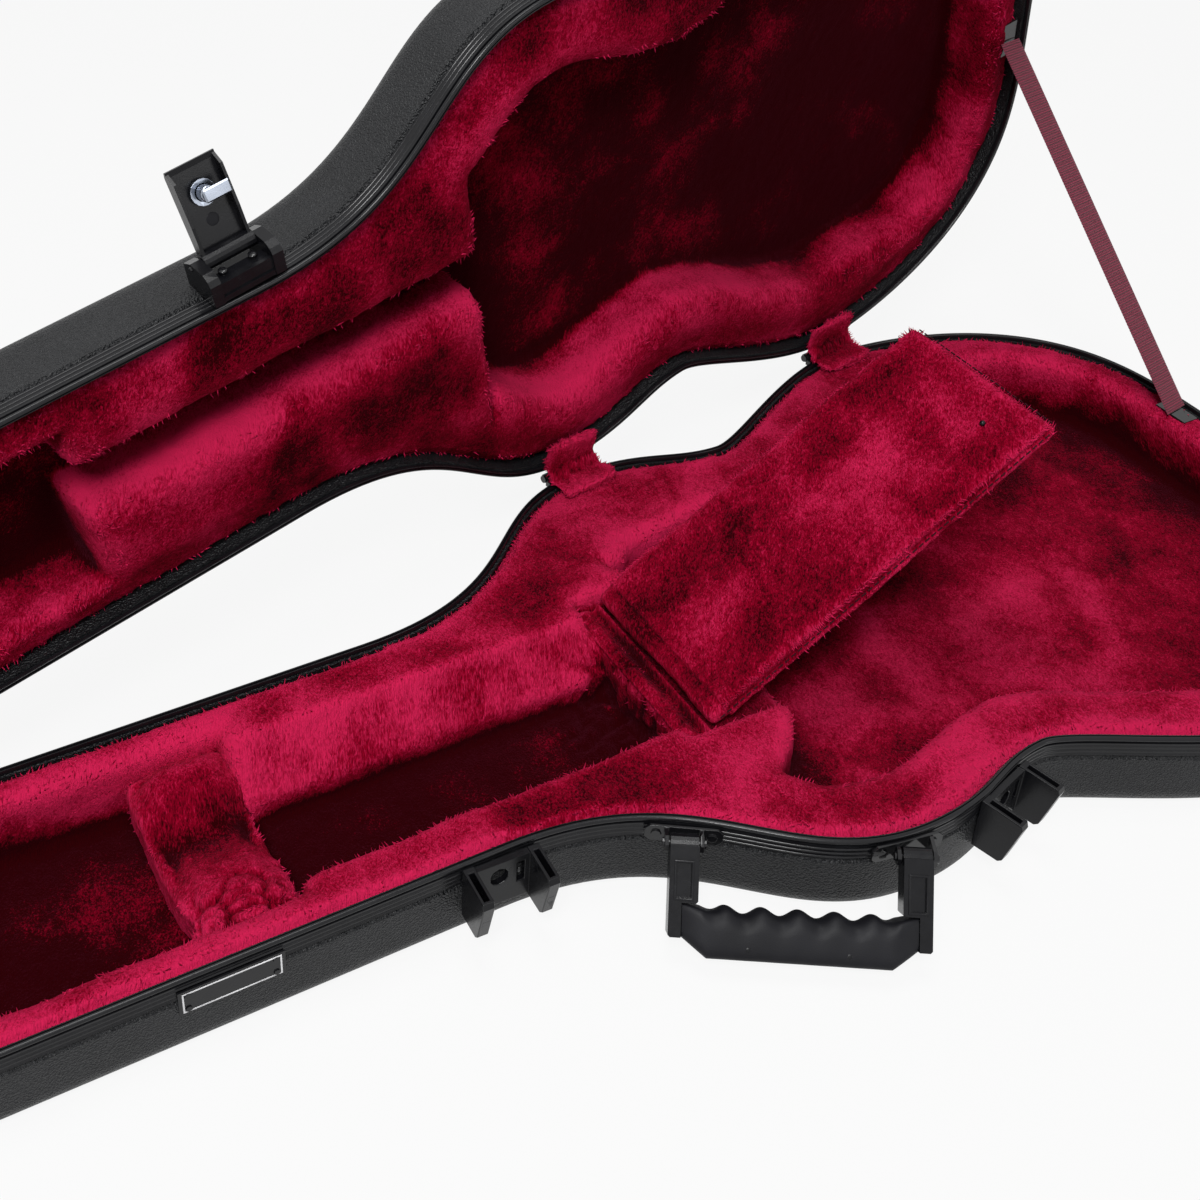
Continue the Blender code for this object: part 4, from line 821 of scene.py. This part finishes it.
# %% Seam groove of the box lid
FLAP_ROOT = Vector((-0.070, 0.0, 0.0475))
FLAP_LEAN = 31.05
FLAP_TILT = radians(FLAP_LEAN)
FLAP_ALONG = Vector((cos(FLAP_TILT), 0, sin(FLAP_TILT)))
FLAP_UP = Vector((-sin(FLAP_TILT), 0, cos(FLAP_TILT)))
FLAP_MIDDLE, FLAT_HALF, FLAT_END = 0.001, 0.0535, 0.2365
HELD_END, HELD_PRESS = 0.012, 0.0016
SEAM_UP, SEAM_DEPTH, SEAM_REACH = 0.0016, 0.0024, 0.0024


def near_zero(value, width):
    """1 at zero, falling smoothly to 0 at the width."""
    t = max(0.0, 1 - abs(value) / width)
    return t * t * (3 - 2 * t)


def flap_seam(co, normal):
    """A groove round the free sides, and a thinner end where the strip holds it."""
    place = co - FLAP_ROOT
    along, up = place.dot(FLAP_ALONG), place.dot(FLAP_UP)
    if along < HELD_END:
        return -HELD_PRESS
    if abs(co.y - FLAP_MIDDLE) < FLAT_HALF and along < FLAT_END:
        return 0.0
    return -SEAM_DEPTH * near_zero(up - SEAM_UP, SEAM_REACH)


def flap_upper(co):
    """The upper cloth, clear of the strip."""
    place = co - FLAP_ROOT
    return place.dot(FLAP_UP) > -0.001 and place.dot(FLAP_ALONG) > 0.010


print("box lid leans", FLAP_LEAN, "degrees")

# %% [markdown]
# The cloth is loose in three places: bunched on the near side of the neck rest, where the
# strip of the box lid is tacked to the divider, and along that strip. Ridges of noise, sharp at
# zero and flat elsewhere, look like such folds.

# %% Loose folds
REST_TOP = 0.026
CRUMPLE_AT = Vector((-0.090, -0.012, 0.020))
CRUMPLE_REACH, CRUMPLE_TOP = 0.050, 0.036


def folds(co, scale, seed):
    """Folds of loose cloth: 0 on their crests and 1 in the creases between them."""
    place = Vector((co.x * scale, co.y * scale * 1.5, co.z * scale))
    broad = noise.noise(place + Vector((seed, 0, 0)))
    fine = noise.noise(place * 2.1 + Vector((0, seed, 0)))
    return max(0.0, 1 - 5 * abs(broad)) * 0.7 + max(0.0, 1 - 4 * abs(fine)) * 0.3


def rest_folds(co, normal):
    """The rest also dips in the middle, between two shoulders."""
    on_top = 1 if co.z > REST_TOP else 0
    shoulders = near_zero(co.y - 0.040, 0.020) + 0.6 * near_zero(co.y + 0.022, 0.014)
    dip = near_zero(co.y - 0.010, 0.022)
    bunched = near_zero(co.y + 0.052, 0.040)
    return on_top * (0.0022 * shoulders - 0.0050 * dip) - 0.0075 * bunched * folds(co, 48.0, 5.0)


def divider_folds(co, normal):
    reach = co - CRUMPLE_AT
    mask = near_zero(Vector((reach.x, reach.y * 0.6, reach.z)).length, CRUMPLE_REACH)
    if mask == 0 or co.z > CRUMPLE_TOP:
        return 0.0
    return mask * (0.0012 - 0.0065 * folds(co, 52.0, 2.0))


def strip_folds(co, normal):
    beside = near_zero(co.x + 0.079, 0.0055)
    return 0.0024 * beside * max(0.0, normal.z) * (1 - folds(co, 60.0, 8.0))


print("divider folds reach", CRUMPLE_REACH)

# %% [markdown]
# The floors of the trays get painted shade, and the walls that face the lamps get painted
# light. One number for each vertex says so.

# %% Painted shade on tray floors, painted light on walls
NECK_END = -0.092


def clamped(value):
    return min(1.0, max(0.0, value))


# Painted shade in the middle dip on top of the rest.
def rest_painted_shade(co, normal):
    return 0.45 - 0.30 * near_zero(co.y - 0.012, 0.024) * (1 if normal.z > 0.5 else 0)


def base_painted_tray_light(co, normal):
    """Painted shade on the floors of the neck tray and of the head's box, and painted light on
    their walls.
    """
    floor = clamped((0.026 - co.z) / 0.010) * max(0.0, normal.z)
    wall = max(0.0, -normal.y) * clamped((co.z - 0.014) / 0.016)
    dark = floor if co.x < NECK_END else -0.10 * floor
    return 0.42 - 0.42 * dark + 0.38 * wall


def lid_painted_tray_light(co, normal):
    """Painted shade on the lid's floors and flange, and painted light on its lower walls. It is
    measured on the closed lid.
    """
    closed = FROM_OPEN @ co
    way = (FROM_OPEN.to_3x3() @ normal)
    deep = clamped((closed.z - BASE_DEPTH - 0.022) / 0.012) * max(0.0, -way.z)
    wall = max(0.0, -way.y) * clamped((closed.z - BASE_DEPTH - 0.004) / 0.008)
    flange = clamped((0.020 - closed.z + BASE_DEPTH) / 0.008) * max(0.0, -way.z)
    return 0.40 - 0.36 * deep + 0.30 * wall - 0.12 * flange


print("neck tray ends at", NECK_END)

# %% [markdown]
# Now the linings, the neck rest, the box lid and its strip are made. Small pieces get a smaller
# voxel, so that their rounded edges and folds keep enough faces.

# %% Linings, neck rest and box lid
base_plush = cushion("base_lining", "base_plush", "base", swell=0.0014, press=divider_folds,
                     painted_tray_light_shade=base_painted_tray_light, backing="base_shell")
lid_plush = cushion("lid_lining", "lid_plush", "lid", swell=0.0022, painted_tray_light_shade=lid_painted_tray_light,
                    backing="lid_shell")
rest_plush = cushion("neck_rest", "rest_plush", "base", voxel=0.0015, press=rest_folds,
                     painted_tray_light_shade=rest_painted_shade)
flap_plush = cushion("compartment_flap", "flap_plush", "flap", voxel=0.0014,
                     press=flap_seam)
cushion("flap_hinge_strip", "strip_plush", "base", voxel=0.0008, rounds=2, swell=0.0003,
        pile=0.0004, press=strip_folds)

fringe(base_plush, "base_pile_fringe", "base", 0.5, length=0.0036, least=0.72)
fringe(lid_plush, "lid_pile_fringe", "lid", 0.5, length=0.0036, least=0.72, seed=2)
fringe(flap_plush, "flap_pile_fringe", "flap", 0.9, length=0.0038, least=0.70, seed=3,
       where=flap_upper)
fringe(rest_plush, "rest_pile_fringe", "base", 0.4, length=0.0034, least=0.72, seed=4)

# %% [markdown]
# Two patches of plush cover the hinges. They are glued to both halves. Here each is a cushion
# with its locks, fixed where it lies and attached to neither half.

# %% Hinge covers
for number in (1, 2):
    cover = cushion("hinge_cover_%d" % number, "cover_plush_%d" % number, None, voxel=0.0011,
                    rounds=8, swell=0.0013, pile=0.0026)
    low, high = (Vector(corner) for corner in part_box("hinge_cover_%d" % number))
    tufts = fringe(cover, "cover_fringe_%d" % number, None, 0.8, length=0.0034, least=0.72,
                   seed=6 + number)
    for piece in (cover, tufts):
        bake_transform(piece)

# %% [markdown]
# The stay strap keeps the open lid from falling back. It is woven flat with ribs across it, and
# hangs taut between its two tabs. A flat grid in waves, given a thickness, shows the ribs. Cloth
# simulation would add nothing to a strap that is pulled straight.

# %% Stay strap
STRAP_LOW = Vector((0.3683, 0.0405, 0.0513))
STRAP_HIGH = Vector((0.3364, 0.2182, 0.2521))
STRAP_WIDE, STRAP_THICK, STRAP_ENDS = 0.019, 0.0011, 0.0019
RIB, RIB_HIGH, RIB_OUT = 0.0022, 0.00028, 0.0005
SELVEDGE, SELVEDGE_HIGH = 0.42, 0.3

run = STRAP_HIGH - STRAP_LOW
strap_z = run.normalized()
strap_x = (HINGE_AXIS - HINGE_AXIS.project(strap_z)).normalized()
strap_frame = Matrix((strap_x, strap_z.cross(strap_x), strap_z)).transposed().to_4x4()
strap_frame.translation = STRAP_LOW
long = run.length - 2 * STRAP_ENDS
bm = bmesh.new()
bmesh.ops.create_grid(bm, x_segments=8, y_segments=int(long / RIB * 6), size=0.5)
for v in bm.verts:
    across, along = v.co.x, (v.co.y + 0.5) * long
    wave = sin(2 * pi * along / RIB)
    wide = STRAP_WIDE + RIB_OUT * wave
    high = RIB_HIGH * wave * (1 if abs(across) < SELVEDGE else SELVEDGE_HIGH)
    v.co = (across * wide, high, along + STRAP_ENDS)
bmesh.ops.solidify(bm, geom=bm.faces[:], thickness=STRAP_THICK)
bmesh.ops.recalc_face_normals(bm, faces=bm.faces)
bmesh.ops.transform(bm, matrix=strap_frame, verts=bm.verts)
strap = new_piece(bm, "stay_webbing", WEBBING)
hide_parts("lid_stay_strap")
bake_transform(strap)
print("strap length", round(long, 4))

# %% [markdown]
# The grip is rubber moulded over the bar of the handle. It has flat blocks at its ends and five
# finger hollows between them. It is drawn hanging straight down and then leant outwards. Its
# section changes all the way along, so it is lofted through many rings, out and back through
# the hole that takes the bar.

# %% Handle grip
HANDLE_LEAN = 41.5


def middle_of(name):
    low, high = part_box(name)
    return (Vector(low) + Vector(high)) / 2


left_pin, right_pin = middle_of("handle_pin_neck"), middle_of("handle_pin_body")
span = (right_pin - left_pin).length
along_pins = (right_pin - left_pin).normalized()
UP = Vector((0, 0, 1))
HANDLE = Matrix((along_pins, UP.cross(along_pins), UP)).transposed().to_4x4()
HANDLE.translation = left_pin
HANDLE = HANDLE @ Matrix.Rotation(radians(-HANDLE_LEAN), 4, "X")
GRIP_X0, GRIP_X1 = -0.0005, span + 0.0005
GRIP_TOP, GRIP_FOOT, GRIP_HALF = -0.0295, -0.052, 0.0094
AROUND, GRIP_STEPS = 40, 110
BLOCK, HOLLOWS, HOLLOW_MARGIN = 0.009, 5, 0.012
BAR_Z, BAR_HALF_WIDE, BAR_HALF_TALL = -0.0395, 0.0033, 0.0038


def signed_power(value, power):
    return abs(value) ** power * (1 if value > 0 else -1)


def grip_ring(x, hollow):
    """One section of the grip at x. hollow is True for the hole that takes the bar."""
    inward = min(x - GRIP_X0, GRIP_X1 - x)
    middle = clamped((inward - BLOCK) / BLOCK)
    wave = cos(2 * pi * HOLLOWS * (x - GRIP_X0 - HOLLOW_MARGIN)
               / (GRIP_X1 - GRIP_X0 - 2 * HOLLOW_MARGIN) + pi)
    top = GRIP_TOP + 0.0018 * wave * middle + 0.0022 * near_zero(inward, 0.012)
    foot = GRIP_FOOT + 0.0090 * max(0.0, 1 - inward / 0.012)
    half = GRIP_HALF * (1 - 0.35 * max(0.0, 1 - inward / 0.014) ** 2)
    ring = []
    for k in range(AROUND):
        turn = 2 * pi * (k + 0.5) / AROUND
        side, up = cos(turn), sin(turn)
        if hollow:
            y = signed_power(side, 0.25) * BAR_HALF_WIDE
            z = BAR_Z + signed_power(up, 0.25) * BAR_HALF_TALL
        else:
            round_off = 0.30 + (0.45 * middle if up > 0 else 0.12)
            dimple = 1 - 0.10 * middle * max(0.0, up) * (1 - wave) / 2
            y = signed_power(side, round_off) * half * dimple
            z = (top + foot) / 2 + (top - foot) / 2 * signed_power(up, round_off)
        ring.append((x, y, z))
    return ring


GRIP_XS = [GRIP_X0 + (GRIP_X1 - GRIP_X0) * i / GRIP_STEPS for i in range(GRIP_STEPS + 1)]
bm, _ = loft([grip_ring(x, False) for x in GRIP_XS]
             + [grip_ring(x, True) for x in reversed(GRIP_XS)], True)
bmesh.ops.recalc_face_normals(bm, faces=bm.faces)
bmesh.ops.transform(bm, matrix=HANDLE, verts=bm.verts)
grip = new_piece(bm, "rubber_grip", RUBBER, crease=50)
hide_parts("handle_grip")
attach(grip, "handle")
print("grip length", round(GRIP_X1 - GRIP_X0, 4))

# %% [markdown]
# A raised line frames the slot in each arm of the handle, and a pale line is printed round the
# name plate. Both are one thin rectangular frame: a square whose middle is inset and
# removed.

# %% Frames of the arms and of the plate
ARM_FRAME, ARM_FRAME_AT = (0.0094, 0.0186, 0.0011, 0.0007), (-0.0072, -0.0165)
PLATE_LINE, PLATE_LINE_IN = (0.0474, 0.0126, 0.0008, 0.0002), 0.0004


def flat_frame(name, size, place, look, body):
    """A thin frame in the XZ plane of its place. size is its width, height, line and
    thickness."""
    wide, tall, line, thick = size
    bm = bmesh.new()
    bmesh.ops.create_grid(bm, x_segments=1, y_segments=1, size=0.5)
    bmesh.ops.scale(bm, vec=(wide, tall, 1), verts=bm.verts)
    ring = bmesh.ops.inset_region(bm, faces=bm.faces[:], thickness=line, use_boundary=True,
                                  use_even_offset=True)["faces"]
    bmesh.ops.delete(bm, geom=[f for f in bm.faces if f not in ring], context="FACES")
    bmesh.ops.solidify(bm, geom=bm.faces[:], thickness=thick)
    bmesh.ops.recalc_face_normals(bm, faces=bm.faces)
    bmesh.ops.bevel(bm, geom=bm.edges[:], offset=min(line, thick) * 0.25, segments=2,
                    profile=0.5, affect="EDGES", material=-1)
    upright = place @ Matrix.Rotation(radians(90), 4, "X")
    bmesh.ops.transform(bm, matrix=upright, verts=bm.verts)
    piece = new_piece(bm, name, look)
    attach(piece, body)
    print(name, "faces", len(piece.data.polygons))


for end, x in (("neck", 0.0), ("body", span)):
    flat_frame("arm_slot_frame_" + end, ARM_FRAME,
               HANDLE @ Matrix.Translation((x, *ARM_FRAME_AT)), MOULDED, "handle")
low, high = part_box("name_plate")
plate_front = ((low[0] + high[0]) / 2, low[1] + PLATE_LINE_IN, (low[2] + high[2]) / 2)
flat_frame("name_plate_border", PLATE_LINE, Matrix.Translation(plate_front), BORDER,
           "base")

# %% [markdown]
# Small fasteners are flattened balls, sunk halfway into what they hold. Two very flat ones of
# dark plastic sit in the front of the grip as dark dots: painted shade of its two screw holes.

# %% Painted shade dots for the grip's screw holes
GRIP_HOLE_SHADE, GRIP_HOLE_SHADE_AT, GRIP_HOLE_SHADE_SHARES = (0.0013, 0.0002), (-0.0093, -0.0462), (0.28, 0.71)


def dome(bm, at, size, place):
    """A flattened ball that faces -Y, half of it sunk. size is its radius and height."""
    radius, tall = size
    made = bmesh.ops.create_uvsphere(bm, u_segments=20, v_segments=10, radius=radius)["verts"]
    bmesh.ops.scale(bm, vec=(1, tall / radius, 1), verts=made)
    bmesh.ops.transform(bm, matrix=place @ Matrix.Translation(at), verts=made)


bm = bmesh.new()
for share in GRIP_HOLE_SHADE_SHARES:
    dome(bm, (share * span, *GRIP_HOLE_SHADE_AT), GRIP_HOLE_SHADE, HANDLE)
# Darker plastic than the rubber grip, as painted shade.
grip_hole_shade = new_piece(bm, "grip_hole_shade", MOULDED)
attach(grip_hole_shade, "handle")
print("grip screws:", len(GRIP_HOLE_SHADE_SHARES))

# %% [markdown]
# Each latch bracket holds its shelf with two domed rivets, and each catch has a small screw in
# its slot. A small flush face closes the sloping front of each of the catch's cheeks, where the
# rigid cheek's channel comes through. Inside each lever there is a round rough mark left by the
# mould. All are placed in the frame of the closed latch, which follows from its lever's hinge.

# %% Small parts of the latches
BARREL_OUT, BARREL_Z = 0.0145, 0.0185
LEVER_OPEN = 110
RIVET, RIVET_AT = (0.0025, 0.0009), [(side * 0.0085, -0.0116, 0.0105) for side in (-1, 1)]
CATCH_SCREW, CATCH_SCREW_AT = (0.0017, 0.0009), (0.0095, -0.0024, -0.0140)
MARK, MARK_AT = (0.0034, 0.0003), (0, -0.0166, BARREL_Z - 0.0165)
CHEEK_MIDDLE, CHEEK_SLOPE = 0.0172, 13.4
CHEEK_FACE, CHEEK_FACE_AT = (0.0034, 0.0010, 0.0044), (-0.01975, -0.0200)

for spot in ("head", "neck", "waist", "bout"):
    joint = next(j for j in frame["joints"] if j["name"] == "lever_hinge_" + spot)
    x_axis = (FROM_OPEN.to_3x3() @ Vector(joint["axis"])).normalized()
    x_axis = x_axis if x_axis.x > 0 else -x_axis
    y_axis = UP.cross(x_axis)
    at_wall = Matrix((x_axis, y_axis, UP)).transposed().to_4x4()
    at_wall.translation = FROM_OPEN @ Vector(joint["pos_m"]) + BARREL_OUT * y_axis - BARREL_Z * UP
    bm = bmesh.new()
    for at in RIVET_AT:
        dome(bm, at, RIVET, TO_OPEN @ at_wall)
    bmesh.ops.recalc_face_normals(bm, faces=bm.faces)
    rivets = new_piece(bm, "shelf_rivets_" + spot, LACQUER)
    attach(rivets, "lid")
    bm = bmesh.new()
    dome(bm, CATCH_SCREW_AT, CATCH_SCREW, at_wall)
    screw = new_piece(bm, "catch_screw_" + spot, LACQUER)
    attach(screw, "base")
    bm = bmesh.new()
    for side in (-1, 1):
        made = bmesh.ops.create_cube(bm, size=1)["verts"]
        bmesh.ops.scale(bm, vec=CHEEK_FACE, verts=made)
        on_cheek = (at_wall @ Matrix.Translation((side * CHEEK_MIDDLE, *CHEEK_FACE_AT))
                    @ Matrix.Rotation(radians(CHEEK_SLOPE), 4, "X"))
        bmesh.ops.transform(bm, matrix=on_cheek, verts=made)
    faces = new_piece(bm, "cheek_faces_" + spot, MOULDED)
    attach(faces, "base")
    pin = Matrix.Translation((0, -BARREL_OUT, BARREL_Z))
    turned = Matrix.Rotation(radians(-LEVER_OPEN), 4, "X")
    bm = bmesh.new()
    dome(bm, MARK_AT, MARK, TO_OPEN @ at_wall @ pin @ turned @ pin.inverted())
    marks = new_piece(bm, "mould_mark_" + spot, RUBBER)
    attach(marks, "lever_" + spot)
    print("latch", spot, "at", [round(c, 3) for c in at_wall.translation])

# %% [markdown]
# The free edges of the box lid are sewn: a row of stitches lies in the groove along its sides.
# A stitch shows as a short thread, so each is a thin cylinder.

# %% Stitches of the box lid
STITCH, STITCH_GAP, THREAD_RADIUS = 0.0030, 0.0044, 0.0004
SIDE_START, SIDE_Y, SIDE_COUNT = 0.008, -0.0556, 52
END_ALONG, END_START, END_COUNT = 0.2398, -0.050, 24

bm = bmesh.new()


def stitch(along, across, direction):
    at = FLAP_ROOT + FLAP_ALONG * along + Vector((0, across, 0)) + FLAP_UP * SEAM_UP
    turn = direction.to_track_quat("Z", "Y").to_matrix().to_4x4()
    bmesh.ops.create_cone(bm, cap_ends=True, segments=8, radius1=THREAD_RADIUS,
                          radius2=THREAD_RADIUS, depth=STITCH,
                          matrix=Matrix.Translation(at) @ turn)


for number in range(SIDE_COUNT):
    stitch(SIDE_START + number * STITCH_GAP, SIDE_Y, FLAP_ALONG)
for number in range(END_COUNT):
    stitch(END_ALONG, END_START + number * STITCH_GAP, Vector((0, 1, 0)))
seam = new_piece(bm, "flap_seam_stitches", THREAD)
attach(seam, "flap")
print("stitches:", SIDE_COUNT + END_COUNT)

# %% [markdown]
# A small dark stud sits near the free end of the box lid, half sunk in the pile.

# %% Stud of the box lid
STUD_RADIUS, STUD_ALONG, STUD_Y, STUD_UP = 0.0017, 0.2156, -0.0266, 0.0066

bm = bmesh.new()
stud_at = FLAP_ROOT + FLAP_ALONG * STUD_ALONG + Vector((0, STUD_Y, 0)) + FLAP_UP * STUD_UP
bmesh.ops.create_uvsphere(bm, u_segments=16, v_segments=8, radius=STUD_RADIUS,
                          matrix=Matrix.Translation(stud_at))
stud = new_piece(bm, "flap_pull_stud", MOULDED)
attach(stud, "flap")
print("stud at", [round(c, 4) for c in stud_at])

# %% [markdown]
# Last, the scene is brought up to date. The box round the dressed case should differ from the
# box round the rigid parts by no more than the thickness of the pile.

# %% Bring the scene up to date
bpy.context.view_layer.update()
